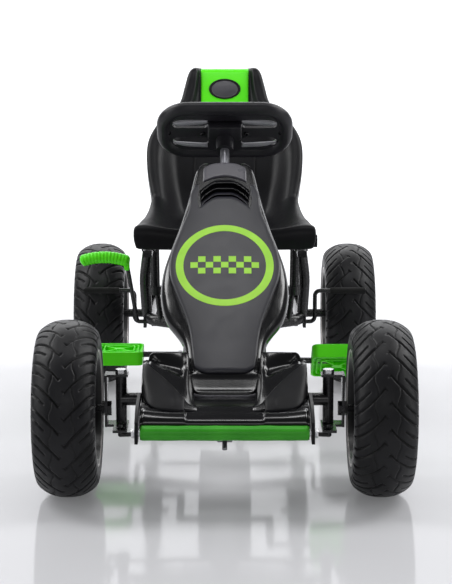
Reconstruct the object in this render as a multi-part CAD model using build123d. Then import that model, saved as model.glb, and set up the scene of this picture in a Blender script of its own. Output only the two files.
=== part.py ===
from build123d import *
from math import cos, hypot, pi, radians, sin, tan
import os

# Pedal go kart. Millimetres, Z up, ground at Z = 0. The kart faces -Y, so the rider's left is +X.
# The origin is on the ground, midway between the axles.

# ---- driving dimensions -------------------------------------------------------------------
WHEELBASE = 800.0
TYRE_RADIUS = 137.5
TYRE_WIDTH = 96.0
OVERALL_WIDTH = 580.0
COLUMN_ANGLE = 46.0            # rise of the steering column above the horizontal, degrees
WHEEL_CENTRE = (0.0, 40.0, 530.0)
COLUMN_RADIUS = 8.0
KINGPIN_X = 160.0
ARM_LENGTH = 40.0              # steering arms and pitman arm
NOSE_SLOPE = 40.0              # slope of the nose cowl, degrees
NOSE_TOP = (0.0, -45.0, 484.0)
CRANK_CENTRE = (-85.0, 151.0)  # Y and Z of the crank axis
CRANK_RADIUS = 100.0
CRANK_LIFT = 9.0               # the forward crank at rest is this far above the horizontal, degrees
PEDAL_INNER_X = 144.0
PEDAL_SIZE = (84.0, 80.0, 24.0)
FORWARD_PEDAL_PITCH = 36.0     # the forward pedal rests nose up by this much, degrees
CHAIN_PITCH = 12.7
CHAINRING_TEETH = 28
SPROCKET_TEETH = 16
CHAIN_X = 30.0
AXLE_RADIUS = 8.0
SPINDLE_RADIUS = 6.0
HOOP_RADIUS = 11.0
RAIL_X = 138.0
RAIL_TOP = 312.0
BRAKE_PIVOT = (262.0, 147.0)   # Y and Z of the brake shaft
RUNNING = 0.05                 # radial clearance of a running fit
GAP = 0.4                      # clearance between parts that move past each other

# ---- derived sizes ------------------------------------------------------------------------
AXLE_Z = TYRE_RADIUS
FRONT_Y = -WHEELBASE / 2
REAR_Y = WHEELBASE / 2
WHEEL_X = OVERALL_WIDTH / 2 - TYRE_WIDTH / 2
TYRE_INNER_X = WHEEL_X - TYRE_WIDTH / 2
COLUMN_COS = cos(radians(COLUMN_ANGLE))
COLUMN_SIN = sin(radians(COLUMN_ANGLE))
CHAINRING_RADIUS = CHAIN_PITCH / (2 * sin(pi / CHAINRING_TEETH))
SPROCKET_RADIUS = CHAIN_PITCH / (2 * sin(pi / SPROCKET_TEETH))
SEAT_BASE = RAIL_TOP + 4.0

os.makedirs("parts", exist_ok=True)


# ---- small helpers ------------------------------------------------------------------------
def rod(start, end, radius):
    """A straight round bar between two points."""
    span = Vector(*end) - Vector(*start)
    return extrude(Plane(origin=start, z_dir=span) * Circle(radius), amount=span.length)


def ring(start, end, outer, inner):
    """A straight tube between two points."""
    return rod(start, end, outer) - rod(start, end, inner)


def bent_rod(points, bend, radius):
    """A round bar bent at each inner point."""
    path = FilletPolyline(*points, radius=bend)
    return sweep(Plane(origin=path @ 0, z_dir=path % 0) * Circle(radius), path=path)


def side_plate(outline, x_low, x_high):
    """A flat plate whose outline is given as (y, z) points, between two values of x."""
    face = make_face(Polyline(*outline, close=True))
    return extrude(Plane.YZ.offset(x_low) * face, amount=x_high - x_low)


def hexagon(start, end, across_flats):
    """A hexagonal nut or bolt head between two points."""
    span = Vector(*end) - Vector(*start)
    face = RegularPolygon(across_flats / 2, 6, major_radius=False)
    return extrude(Plane(origin=start, z_dir=span) * face, amount=span.length)


def box(low, high):
    """A block between two opposite corners."""
    size = [high[i] - low[i] for i in range(3)]
    middle = [(high[i] + low[i]) / 2 for i in range(3)]
    return Pos(*middle) * Box(*size)


def both_sides(shape):
    """The shape and its mirror image across the kart's centre plane."""
    return [shape, mirror(shape, about=Plane.YZ)]


def other_side(shape):
    return mirror(shape, about=Plane.YZ)


def on_column(y):
    """The point of the steering column's centre line at this y."""
    return (0.0, y, WHEEL_CENTRE[2] + (y - WHEEL_CENTRE[1]) * tan(radians(COLUMN_ANGLE)))


def save(name, shape):
    """Writes one node. A list of shapes becomes a group of separate solids."""
    solids = []
    for item in shape if isinstance(shape, list) else [shape]:
        solids.extend(item.solids())
    whole = solids[0] if len(solids) == 1 else Compound(children=solids)
    export_step(whole, f"parts/{name}.step")


# ---- wheels -------------------------------------------------------------------------------
def tyre(side, y):
    """A fat tyre with round shoulders, hollow between its beads."""
    half = TYRE_WIDTH / 2
    r = TYRE_RADIUS
    wall = 13.0
    bead = [(half, 106), (half, 96), (half - 7, 86), (half - 7 - wall, 86), (half - wall, 100)]
    crown = Spline((-half, 106), (-half + 9, r - 13), (-20, r - 1), (0, r), (20, r - 1),
                   (half - 9, r - 13), (half, 106))
    cavity = ThreePointArc(bead[-1], (0, r - wall), (-half + wall, 100))
    section = make_face(crown + Polyline(*bead) + cavity
                        + Polyline(*[(-x, radius) for x, radius in reversed(bead)]))
    return Pos(side * WHEEL_X, y, AXLE_Z) * revolve(section, axis=Axis.X)


def rim(side, y, bore):
    """A moulded rim: barrel, lips, spoke disc with windows, and a hub."""
    half = TYRE_WIDTH / 2
    barrel = [(-half + 2, 80), (-half + 2, 91), (-half + 7, 86), (half - 7, 86), (half - 2, 91),
              (half - 2, 80), (half - 12, 76), (-half + 12, 76)]
    disc = [(6, 18), (6, 77), (14, 77), (20, 24), (20, 18)]
    hub = [(-30, 12), (-30, 20), (26, 20), (26, 12)]
    body = revolve(make_face(Polyline(*barrel, close=True)), axis=Axis.X)
    body += revolve(make_face(Polyline(*disc, close=True)), axis=Axis.X)
    body += revolve(make_face(Polyline(*hub, close=True)), axis=Axis.X)
    window = Plane.YZ * Pos(0, 50) * SlotOverall(34, 22, rotation=90)
    for turn in range(5):
        body -= Rot(turn * 72, 0, 0) * extrude(window, amount=30)
    body += rod((-30, 0, 0), (26, 0, 0), 13)
    body -= rod((-40, 0, 0), (40, 0, 0), bore)
    if side < 0:
        body = other_side(body)
    return Pos(side * WHEEL_X, y, AXLE_Z) * body


def hub_cap(side, y):
    """A domed cap that closes the hub's outer end."""
    outline = [(26.2, 0), (26.2, 20), (32, 19), (42, 14), (45, 0)]
    cap = revolve(make_face(Polyline(*outline, close=True)), axis=Axis.X)
    cap -= rod((26, 0, 0), (40, 0, 0), 11)
    if side < 0:
        cap = other_side(cap)
    return Pos(side * WHEEL_X, y, AXLE_Z) * cap


def make_wheels():
    for side, hand in ((1, "left"), (-1, "right")):
        save(f"tyre_front_{hand}", tyre(side, FRONT_Y))
        save(f"tyre_rear_{hand}", tyre(side, REAR_Y))
        save(f"rim_front_{hand}", rim(side, FRONT_Y, SPINDLE_RADIUS + RUNNING))
        save(f"hub_cap_front_{hand}", hub_cap(side, FRONT_Y))
        save(f"hub_cap_rear_{hand}", hub_cap(side, REAR_Y))
    save("rim_rear_left", rim(1, REAR_Y, AXLE_RADIUS))
    save("rim_rear_right", rim(-1, REAR_Y, AXLE_RADIUS + RUNNING))


# ---- frame --------------------------------------------------------------------------------
BEAM_LOW = 113.0
BEAM_HIGH = 143.0
BEAM_HALF = 15.0
BEAM_WALL = 2.5
FRONT_BEAM_Z = 152.0
FRONT_BEAM_RADIUS = 10.0
KINGPIN_LOW = 115.5
KINGPIN_HIGH = 188.0
KINGPIN_BOLT_RADIUS = 5.0
KINGPIN_TUBE_RADIUS = 8.5
BUSH_RADIUS = 12.0
BRACKET_SHELL_RADIUS = 16.0
CRANK_SHAFT_RADIUS = 7.0
CRANK_BUSH_RADIUS = 12.0
COLUMN_POST_Y = -150.0
HOOP_ARM_X = 140.0
HOOP_Z = 163.0
HOOP_FRONT_Y = 150.0


def main_beam():
    """The centre beam, with the steering bore, the crank shell and the post for the upper bush."""
    beam = box((-BEAM_HALF, FRONT_Y, BEAM_LOW), (BEAM_HALF, HOOP_FRONT_Y, BEAM_HIGH))
    beam -= box((-BEAM_HALF + BEAM_WALL, FRONT_Y + 90, BEAM_LOW + BEAM_WALL),
                (BEAM_HALF - BEAM_WALL, HOOP_FRONT_Y - 40, BEAM_HIGH - BEAM_WALL))
    y, z = CRANK_CENTRE
    beam += rod((-22, y, z), (22, y, z), BRACKET_SHELL_RADIUS)
    post_top = on_column(COLUMN_POST_Y)
    beam += rod((0, COLUMN_POST_Y, BEAM_HIGH - 2), post_top, 10)
    beam += box((-BEAM_HALF, HOOP_FRONT_Y - 30, BEAM_HIGH - 5), (BEAM_HALF, HOOP_FRONT_Y, HOOP_Z))
    beam -= rod((-30, y, z), (30, y, z), CRANK_BUSH_RADIUS)
    beam -= rod(on_column(-420), on_column(20), BUSH_RADIUS)
    beam -= rod((-200, FRONT_Y, FRONT_BEAM_Z), (200, FRONT_Y, FRONT_BEAM_Z), FRONT_BEAM_RADIUS)
    beam -= rear_hoop_tube()
    return max(beam.solids(), key=lambda solid: solid.volume)


def steering_bushes():
    """Two bushes that carry the column, one in the beam and one on the post."""
    lower = ring(on_column(-372), on_column(-324), BUSH_RADIUS, COLUMN_RADIUS + RUNNING)
    upper = ring(on_column(COLUMN_POST_Y - 16), on_column(COLUMN_POST_Y + 16), BUSH_RADIUS,
                 COLUMN_RADIUS + RUNNING)
    return [lower, upper]


def crank_bushes():
    y, z = CRANK_CENTRE
    bush = ring((10, y, z), (24, y, z), CRANK_BUSH_RADIUS, CRANK_SHAFT_RADIUS + RUNNING)
    return both_sides(bush)


def front_axle_beam():
    """The cross tube with an upright kingpin tube at each end."""
    tube = rod((-KINGPIN_X, FRONT_Y, FRONT_BEAM_Z), (KINGPIN_X, FRONT_Y, FRONT_BEAM_Z),
               FRONT_BEAM_RADIUS)
    for x in (-KINGPIN_X, KINGPIN_X):
        tube += rod((x, FRONT_Y, KINGPIN_LOW), (x, FRONT_Y, KINGPIN_HIGH), KINGPIN_TUBE_RADIUS)
    for x in (-KINGPIN_X, KINGPIN_X):
        tube -= rod((x, FRONT_Y, 90), (x, FRONT_Y, 210), KINGPIN_BOLT_RADIUS + RUNNING)
    return tube


def rear_hoop_tube():
    """The bent tube that runs forward from one rear bearing, across and back to the other."""
    half = [(HOOP_ARM_X, REAR_Y - 14, HOOP_Z + 2), (HOOP_ARM_X, 190, HOOP_Z + 2),
            (60, HOOP_FRONT_Y, HOOP_Z - 2)]
    points = half + [(-x, y, z) for x, y, z in reversed(half)]
    return bent_rod(points, 28, HOOP_RADIUS)


def brake_tab():
    """The ear outside each hoop arm that the brake shaft turns in."""
    y, z = BRAKE_PIVOT
    inner = HOOP_ARM_X + HOOP_RADIUS - 3
    tab = side_plate([(y - 12, z - 10), (y + 12, z - 10), (y + 12, HOOP_Z + 8),
                      (y - 12, HOOP_Z + 8)], inner, inner + 6)
    return tab - rod((inner - 5, y, z), (inner + 15, y, z), 4 + RUNNING)


def axle_plates():
    """Plates at the hoop's ends that hold the axle bearings."""
    outline = [(REAR_Y - 26, HOOP_Z + 16), (REAR_Y + 10, HOOP_Z + 16), (REAR_Y + 24, AXLE_Z + 8),
               (REAR_Y + 24, AXLE_Z - 12), (REAR_Y + 12, AXLE_Z - 24),
               (REAR_Y - 14, AXLE_Z - 24), (REAR_Y - 26, AXLE_Z - 10)]
    plate = side_plate(outline, HOOP_ARM_X - 4, HOOP_ARM_X + 4)
    plate -= rod((100, REAR_Y, AXLE_Z), (180, REAR_Y, AXLE_Z), 16)
    plate -= rear_hoop_tube()
    plate = max(plate.solids(), key=lambda solid: solid.volume)
    return both_sides(plate)


def rear_hoop():
    """The hoop with its bearing plates and brake ears."""
    hoop = rear_hoop_tube() + brake_tab() + other_side(brake_tab())
    for plate in axle_plates():
        hoop += plate
    return hoop


def axle_bearings():
    bearing = ring((HOOP_ARM_X - 6, REAR_Y, AXLE_Z), (HOOP_ARM_X + 6, REAR_Y, AXLE_Z), 16,
                   AXLE_RADIUS + RUNNING)
    flange = ring((HOOP_ARM_X + 4, REAR_Y, AXLE_Z), (HOOP_ARM_X + 7, REAR_Y, AXLE_Z), 20,
                  AXLE_RADIUS + RUNNING)
    return both_sides(bearing + flange)


def seat_rails():
    """Two bars that the seat slides along."""
    rail = box((RAIL_X - 8, 70, RAIL_TOP - 12), (RAIL_X + 8, 330, RAIL_TOP))
    return both_sides(rail)


def seat_posts():
    """The outer legs between the hoop and the rails, slightly bowed."""
    foot = (HOOP_ARM_X + 5, 214, HOOP_Z + 4)
    top = (RAIL_X + 3, 196, RAIL_TOP - 11)
    knee = (HOOP_ARM_X + 9, 204, 240)
    leg = bent_rod([foot, knee, top], 200, 10)
    leg -= rear_hoop_tube()
    leg -= seat_rails()[0]
    return both_sides(max(leg.solids(), key=lambda solid: solid.volume))


def seat_struts():
    """The inner legs, each with a clamp and a diagonal gusset down to the hoop."""
    top = (RAIL_X - 9, 182, RAIL_TOP - 11)
    clamp = (RAIL_X - 10, 178, 222)
    foot = (118, 172, HOOP_Z)
    strut = rod(clamp, top, 8.5)
    strut += rod((clamp[0], clamp[1], 214), (clamp[0], clamp[1], 230), 12)
    gusset = rod((clamp[0] - 3, clamp[1], 222), foot, 5)
    cross = rod((clamp[0] - 22, clamp[1], 222), (clamp[0] + 6, clamp[1], 222), 6)
    leg = strut + gusset + cross
    leg -= seat_rails()[0]
    leg -= rear_hoop_tube()
    return both_sides(max(leg.solids(), key=lambda solid: solid.volume))


def seat_stays():
    """Long braces from the rails' rear ends down to the axle plates."""
    stay = rod((RAIL_X, 322, RAIL_TOP - 8), (HOOP_ARM_X, 384, HOOP_Z + 8), 8)
    stay -= seat_rails()[0]
    stay -= rear_hoop_tube()
    stay -= axle_plates()[0]
    return both_sides(max(stay.solids(), key=lambda solid: solid.volume))


def make_frame():
    save("main_beam", main_beam())
    save("front_axle_beam", front_axle_beam())
    save("frame_bushes", steering_bushes() + crank_bushes())
    save("rear_hoop", rear_hoop())
    save("axle_bearings", axle_bearings())
    save("seat_rails", [rail + stay for rail, stay in zip(seat_rails(), seat_stays())])
    save("seat_posts", seat_posts())
    save("seat_struts", seat_struts())


# ---- bumper and front fairing -------------------------------------------------------------
ROLLER_Y = -520.0
ROLLER_Z = 128.0
ROLLER_RADIUS = 11.5
ROLLER_HALF = 126.0
END_PLATE_X = 129.0


def bumper_brackets():
    """End plates that hold the bumper bar, each on an arm back to the front beam."""
    outline = [(ROLLER_Y - 13, 114), (ROLLER_Y + 16, 114), (FRONT_Y - 4, 142), (FRONT_Y + 6, 160),
               (FRONT_Y - 18, 166), (ROLLER_Y + 30, 163), (ROLLER_Y - 8, 146)]
    plate = side_plate(outline, END_PLATE_X, END_PLATE_X + 5)
    plate -= rod((-200, FRONT_Y, FRONT_BEAM_Z), (200, FRONT_Y, FRONT_BEAM_Z), FRONT_BEAM_RADIUS)
    plate -= rod((-200, ROLLER_Y, ROLLER_Z), (200, ROLLER_Y, ROLLER_Z), 5)
    return both_sides(max(plate.solids(), key=lambda solid: solid.volume))


def bumper_rod():
    """The steel bar through the bumper, with a nut at each end."""
    bar = rod((-136, ROLLER_Y, ROLLER_Z), (136, ROLLER_Y, ROLLER_Z), 5)
    nut = hexagon((END_PLATE_X + 5, ROLLER_Y, ROLLER_Z), (END_PLATE_X + 10, ROLLER_Y, ROLLER_Z), 13)
    return bar + nut + other_side(nut)


def bumper_roller():
    return ring((-ROLLER_HALF, ROLLER_Y, ROLLER_Z), (ROLLER_HALF, ROLLER_Y, ROLLER_Z),
                ROLLER_RADIUS, 5 + RUNNING)


def front_fairing():
    """The skirt below the nose: a sloping shelf, and a raised horn and side wall each side."""
    shelf = side_plate([(-434, 164), (-470, 160), (-508, 150), (-513, 141), (-506, 141),
                        (-468, 153), (-434, 157)], -127.5, 127.5)
    horn = side_plate([(-372, 214), (-380, 221), (-392, 222), (-440, 186), (-470, 160),
                       (-440, 157), (-392, 166)], 68.5, 120)
    wall = side_plate([(-372, 205), (-384, 208), (-470, 160), (-440, 157), (-392, 166)],
                      119, 127.5)
    pad = side_plate([(-472, 159), (-508, 149.5), (-509.5, 153), (-472, 162.5)], 56, 125)
    skirt = shelf + horn + other_side(horn) + wall + other_side(wall)
    return skirt + pad + other_side(pad)


def fairing_fins():
    """Satin three-cornered panels on the outer faces of the horns."""
    plane = Plane(origin=(95, -432, 192), x_dir=(1, 0, 0), z_dir=(0.16, -0.76, 0.63))
    face = make_face(Polyline((31, 24), (33, -6), (22, -30), (-32, -34), (8, -2), close=True))
    return both_sides(extrude(plane * Pos(0, 0, 1) * face, amount=3))


def make_front():
    fairing = front_fairing()
    save("front_fairing", fairing)
    save("fairing_fins", [fin - fairing for fin in fairing_fins()])
    save("bumper_brackets", bumper_brackets())
    save("bumper_rod", bumper_rod())
    save("bumper_roller", bumper_roller())


# ---- nose ---------------------------------------------------------------------------------
NOSE_PLANE = Plane(origin=NOSE_TOP, x_dir=(1, 0, 0),
                   z_dir=(0, -sin(radians(NOSE_SLOPE)), cos(radians(NOSE_SLOPE))))
NOSE_LENGTH = 497.0
NOSE_DEPTH = 62.0
NOSE_TIP_DEPTH = 11.0
NOSE_WALL = 3.0
FACE_THICK = 3.0
# (half width, distance down the slope) of the cowl's outline and of its satin face panel
NOSE_OUTLINE = [(45, 0), (63, 100), (86, 188), (103.5, 278), (91, 341), (64, 396), (59.5, 435),
                (44, NOSE_LENGTH)]
FACE_OUTLINE = [(60, 106), (82, 188), (92, 236), (75, 306), (57, 365), (54, 425), (47, 453)]


def nose_face_outline(points, grow=0.0):
    """A closed face symmetric about the centre line, through points on its right-hand side."""
    middle = points[-1][1] / 2
    right = [(half + grow, -down - grow * (down - middle) / middle) for half, down in points]
    left = [(-half, down) for half, down in reversed(right)]
    edges = Spline(*right) + Line(right[-1], left[0]) + Spline(*left) + Line(left[-1], right[0])
    return make_face(edges)


def nose_cowl():
    """A tray with its open side down, deep at the top and shallow at the tip."""
    outer = extrude(nose_face_outline(NOSE_OUTLINE), amount=-NOSE_DEPTH)
    inside = extrude(Pos(0, 0, -NOSE_WALL) * nose_face_outline(NOSE_OUTLINE, -NOSE_WALL),
                     amount=-NOSE_DEPTH)
    below = Plane.YZ * make_face(Polyline((30, -NOSE_DEPTH), (-NOSE_LENGTH - 30, -NOSE_TIP_DEPTH),
                                          (-NOSE_LENGTH - 30, -200), (30, -200), close=True))
    tray = outer - inside - extrude(below, amount=150, both=True)
    tray = NOSE_PLANE * tray
    tray -= rod(on_column(-110), on_column(10), COLUMN_RADIUS + 4)
    return max(tray.solids(), key=lambda solid: solid.volume)


def nose_face():
    return NOSE_PLANE * extrude(nose_face_outline(FACE_OUTLINE), amount=FACE_THICK)


def nose_vents():
    """Three arched louvres stepped down the slope."""
    louvres = []
    for step in range(3):
        down = 62 + 14 * step
        half = 36 + 4 * step
        outer = [(-half, -down - 26), (-half + 8, -down - 10), (-half + 20, -down),
                 (half - 20, -down), (half - 8, -down - 10), (half, -down - 26)]
        inner = [(x * 0.86, y - 7) for x, y in reversed(outer)]
        band = make_face(Polyline(*outer, *inner, close=True))
        louvres.append(NOSE_PLANE * extrude(band, amount=5 - step))
    return louvres


def nose_insert():
    """The smooth upper panel with an arched lower edge."""
    edges = Line((-30, -5), (30, -5)) + Line((30, -5), (38, -46)) + ThreePointArc(
        (38, -46), (0, -38), (-38, -46)) + Line((-38, -46), (-30, -5))
    return NOSE_PLANE * extrude(make_face(edges), amount=3)


def nose_decal():
    """A plain ring with a chequered band across it."""
    centre = Pos(0, -234, FACE_THICK)
    outer = 81.0
    inner = 68.0
    disc = extrude(Circle(outer) - Circle(inner), amount=0.6)
    tiles = [NOSE_PLANE * centre * disc]
    tile = 13.0
    for row in range(2):
        for column in range(-4, 5):
            if (row + column) % 2:
                square = extrude(Pos(column * tile, (row - 0.5) * tile) * Rectangle(
                    tile - 0.6, tile - 0.6), amount=0.6)
                tiles.append(NOSE_PLANE * centre * square)
    return tiles


def nose_lip():
    """The rounded bead around the lower end of the cowl."""
    bead = nose_face_outline(NOSE_OUTLINE, 4.2) - nose_face_outline(NOSE_OUTLINE, 0.05)
    bead &= Pos(0, -NOSE_LENGTH + 55) * Rectangle(300, 200)
    return NOSE_PLANE * extrude(Pos(0, 0, -8) * bead, amount=6)


def make_nose():
    save("nose_cowl", nose_cowl())
    save("nose_face", nose_face())
    save("nose_vents", [vent - nose_face() for vent in nose_vents()])
    save("nose_insert", nose_insert())
    save("nose_decal", nose_decal())
    save("nose_lip", nose_lip())


# ---- drive cover and chain ----------------------------------------------------------------
CASE_HALF = 45.0
CASE_WALL = 3.0
COVER_HALF = 66.0


def loop_outline(grow):
    """Two circles round the chainring and the sprocket, joined by straight runs."""
    y, z = CRANK_CENTRE
    rise = AXLE_Z - z
    length = hypot(REAR_Y - y, rise)
    front = CHAINRING_RADIUS + grow
    back = SPROCKET_RADIUS + grow
    lean = (front - back) / length
    up = (1 - lean * lean) ** 0.5
    along = ((REAR_Y - y) / length, rise / length)
    across = (-along[1], along[0])

    def spot(centre, radius, a, b):
        return (centre[0] + radius * (a * along[0] + b * across[0]),
                centre[1] + radius * (a * along[1] + b * across[1]))

    crank = (y, z)
    axle = (REAR_Y, AXLE_Z)
    top_front = spot(crank, front, lean, up)
    low_front = spot(crank, front, lean, -up)
    top_back = spot(axle, back, lean, up)
    low_back = spot(axle, back, lean, -up)
    return (ThreePointArc(low_front, spot(crank, front, -1, 0), top_front)
            + Line(top_front, top_back)
            + ThreePointArc(top_back, spot(axle, back, 1, 0), low_back)
            + Line(low_back, low_front))


def chain():
    """A closed band that runs round both toothed wheels, clear of their tips."""
    outer = make_face(loop_outline(8.0))
    inner = make_face(loop_outline(4.5))
    band = extrude(Plane.YZ.offset(CHAIN_X - 4) * (outer - inner), amount=8)
    return band


def case_outline(grow):
    """The drive cover's side view: round at the crank and cut off square behind it."""
    y, z = CRANK_CENTRE
    round_end = Pos(y, z) * Circle(74 + grow)
    back = Pos((y + 120) / 2, z) * Rectangle(120 - y, 148 + 2 * grow)
    return round_end + back


def chain_case():
    """A hollow drive cover round the chainring, open at the back for the chain."""
    y, z = CRANK_CENTRE
    outer = extrude(Plane.YZ.offset(-CASE_HALF) * case_outline(0), amount=2 * CASE_HALF)
    inner = extrude(Plane.YZ.offset(-CASE_HALF + CASE_WALL) * case_outline(-CASE_WALL),
                    amount=2 * (CASE_HALF - CASE_WALL))
    inner += box((-CASE_HALF + CASE_WALL, 100, z - 71), (CASE_HALF - CASE_WALL, 140, z + 71))
    shell = outer - inner
    shell -= rod((-60, y, z), (60, y, z), CRANK_SHAFT_RADIUS + 4)
    shell -= box((-BEAM_HALF - 0.2, -240, BEAM_LOW - 0.2), (BEAM_HALF + 0.2, -120, BEAM_HIGH + 0.2))
    shell -= rod((0, COLUMN_POST_Y, 140), (0, COLUMN_POST_Y, 260), 10.2)
    return max(shell.solids(), key=lambda solid: solid.volume)


def centre_cover():
    """The hollow tunnel under the nose, open below and behind, with room for the column."""
    outline = [(-345, 172), (-345, 182), (-235, 258), (-235, 172)]
    inside = [(-342, 160), (-342, 180), (-225, 262), (-225, 160)]
    cover = side_plate(outline, -COVER_HALF, COVER_HALF)
    cover -= side_plate(inside, -COVER_HALF + 3, COVER_HALF - 3)
    cover -= rod(on_column(-350), on_column(-200), COLUMN_RADIUS + 5)
    return max(cover.solids(), key=lambda solid: solid.volume)


def cover_stripes():
    """Green strips along the tunnel's top edges."""
    strip = side_plate([(-344, 182.8), (-238, 256), (-238, 259), (-344, 185.8)], 57, 65)
    return both_sides(strip)


def make_covers():
    cover = centre_cover()
    save("centre_cover", cover)
    save("cover_stripes", [strip - cover for strip in cover_stripes()])
    save("chain_case", chain_case())
    save("chain", chain())


# ---- steering -----------------------------------------------------------------------------
COLUMN_END_Y = -390.5         # where the pitman plate sits
COLUMN_TIP_Y = -402.0
COLUMN_PLANE = Plane(origin=WHEEL_CENTRE, x_dir=(1, 0, 0), z_dir=(0, COLUMN_COS, COLUMN_SIN))
COLUMN_END = on_column(COLUMN_END_Y)
PITMAN_TIP_Y = COLUMN_END_Y - ARM_LENGTH * COLUMN_SIN
PITMAN_TIP_Z = COLUMN_END[2] + ARM_LENGTH * COLUMN_COS
TIE_ROD_X = 13.0
TIE_ROD_DROP = 5.6
KNUCKLE_LOW = 111.0
KNUCKLE_HIGH = 192.5
SLOT_RADIUS = 4.8              # play of the tie rod's end in the steering arm
SLOT_REACH = 3.2
RIM_TUBE = 12.0
RIM_HALF = (106.0, 58.0)
RIM_CORNER = 44.0


def steering_column():
    """The column, with a pitman plate across its lower end and a collar above the upper bush."""
    shaft = rod(COLUMN_END, on_column(WHEEL_CENTRE[1] - 12), COLUMN_RADIUS)
    shaft += rod(on_column(COLUMN_TIP_Y), COLUMN_END, 4)
    plane = Plane(origin=COLUMN_END, x_dir=(1, 0, 0), z_dir=(0, COLUMN_COS, COLUMN_SIN))
    tip = -ARM_LENGTH
    outline = Polyline((-11, 11), (11, 11), (22, tip + 4), (22, tip - 8), (-22, tip - 8),
                       (-22, tip + 4), close=True)
    pitman = extrude(plane * Pos(0, 0, 2) * make_face(outline), amount=5)
    for x in (-TIE_ROD_X, TIE_ROD_X):
        pitman -= extrude(plane * Pos(x, tip, -5) * Circle(4 + RUNNING), amount=20)
    collar = ring(on_column(COLUMN_POST_Y + 17), on_column(COLUMN_POST_Y + 25), 12,
                  COLUMN_RADIUS - 1)
    return shaft + pitman + collar


def steering_rim():
    """The padded rim, a rounded rectangle swept by a round section."""
    path = RectangleRounded(2 * RIM_HALF[0], 2 * RIM_HALF[1], RIM_CORNER).wire()
    section = Plane(origin=path @ 0, z_dir=path % 0) * Circle(RIM_TUBE)
    return COLUMN_PLANE * sweep(section, path=path)


def wheel_back_cover(rim_solid):
    """The spoke plate with four finger slots, and a boss for the column."""
    face = RectangleRounded(2 * RIM_HALF[0] - 16, 2 * RIM_HALF[1] - 16, RIM_CORNER - 8)
    plate = extrude(Pos(0, 0, -6) * face, amount=5)
    for side in (-1, 1):
        for level in (-24, 24):
            slot = extrude(Pos(side * 60, level, -20) * RectangleRounded(62, 22, 9), amount=40)
            plate -= slot
    boss = extrude(Pos(0, 0, -6) * RectangleRounded(56, 60, 10), amount=-14)
    neck = extrude(Pos(0, 0, -20) * Circle(15), amount=-26)
    cover = COLUMN_PLANE * (plate + boss + neck)
    cover -= rod(on_column(-60), on_column(WHEEL_CENTRE[1] - 12), COLUMN_RADIUS)
    return cover - rim_solid


def wheel_hub_cap():
    """The pad on the rider's side of the steering wheel."""
    pad = extrude(Pos(0, 0, -1) * RectangleRounded(62, 56, 12), amount=12)
    return COLUMN_PLANE * chamfer(pad.faces().sort_by(Axis.Z)[-1].edges(), 4)


def tie_rod():
    """The rider's left tie rod: a ball stud at the pitman plate and an upturned end."""
    start = Vector(TIE_ROD_X, PITMAN_TIP_Y, PITMAN_TIP_Z)
    up = Vector(0, COLUMN_COS, COLUMN_SIN)
    stud_low = tuple(start - up * 8)
    stud_high = tuple(start + up * 9.5)
    y = FRONT_Y - ARM_LENGTH
    low = KNUCKLE_LOW - TIE_ROD_DROP
    stud = rod(stud_low, stud_high, 4)
    bar = rod(stud_low, (KINGPIN_X, y, low), 3.6)
    knob = Pos(*stud_low) * Sphere(6)
    elbow = Pos(KINGPIN_X, y, low) * Sphere(3.6)
    pin = rod((KINGPIN_X, y, low), (KINGPIN_X, y, KNUCKLE_LOW + 10), 3.5)
    return knob + elbow + bar + stud + pin


def knuckle():
    """The rider's left C-shaped knuckle, with its spindle and forward steering arm."""
    web = box((181, FRONT_Y - 16, KNUCKLE_LOW), (185, FRONT_Y + 16, KNUCKLE_HIGH))
    upper = box((KINGPIN_X - 11, FRONT_Y - 12, KNUCKLE_HIGH - 4 + GAP),
                (183, FRONT_Y + 12, KNUCKLE_HIGH + GAP))
    lower = box((KINGPIN_X - 11, FRONT_Y - 14, KNUCKLE_LOW), (183, FRONT_Y + 14, KNUCKLE_LOW + 4))
    arm = box((KINGPIN_X - 11, FRONT_Y - ARM_LENGTH - 13, KNUCKLE_LOW),
              (KINGPIN_X + 11, FRONT_Y - 10, KNUCKLE_LOW + 4))
    slot = Plane.XY.offset(80) * Pos(KINGPIN_X, FRONT_Y - ARM_LENGTH - 0.8) * SlotOverall(
        2 * (SLOT_REACH + SLOT_RADIUS), 2 * SLOT_RADIUS, rotation=90)
    arm -= extrude(slot, amount=40)
    spindle = rod((175, FRONT_Y, AXLE_Z), (272, FRONT_Y, AXLE_Z), SPINDLE_RADIUS)
    boss = hexagon((175, FRONT_Y, AXLE_Z), (190, FRONT_Y, AXLE_Z), 20)
    shape = web + upper + lower + arm + spindle + boss
    return shape - rod((KINGPIN_X, FRONT_Y, 80), (KINGPIN_X, FRONT_Y, 220), KINGPIN_BOLT_RADIUS)


def king_bolt():
    """The bolt that the rider's left knuckle swings on, with its head and nut."""
    shank = rod((KINGPIN_X, FRONT_Y, KNUCKLE_LOW - 7), (KINGPIN_X, FRONT_Y, KNUCKLE_HIGH + 2),
                KINGPIN_BOLT_RADIUS)
    head = hexagon((KINGPIN_X, FRONT_Y, KNUCKLE_HIGH + GAP),
                   (KINGPIN_X, FRONT_Y, KNUCKLE_HIGH + 7), 16)
    nut = hexagon((KINGPIN_X, FRONT_Y, KNUCKLE_LOW - 7), (KINGPIN_X, FRONT_Y, KNUCKLE_LOW), 16)
    return shank + head + nut


def make_steering():
    rim_solid = steering_rim()
    save("steering_column", steering_column())
    save("steering_rim", rim_solid)
    save("wheel_back_cover", wheel_back_cover(rim_solid))
    save("wheel_hub_cap", wheel_hub_cap())
    for hand, place in (("left", lambda shape: shape), ("right", other_side)):
        save(f"tie_rod_{hand}", place(tie_rod()))
        save(f"knuckle_{hand}", place(knuckle()))
        save(f"king_bolt_{hand}", place(king_bolt()))


# ---- drive --------------------------------------------------------------------------------
CRANK_ARM_X = 78.0


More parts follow.
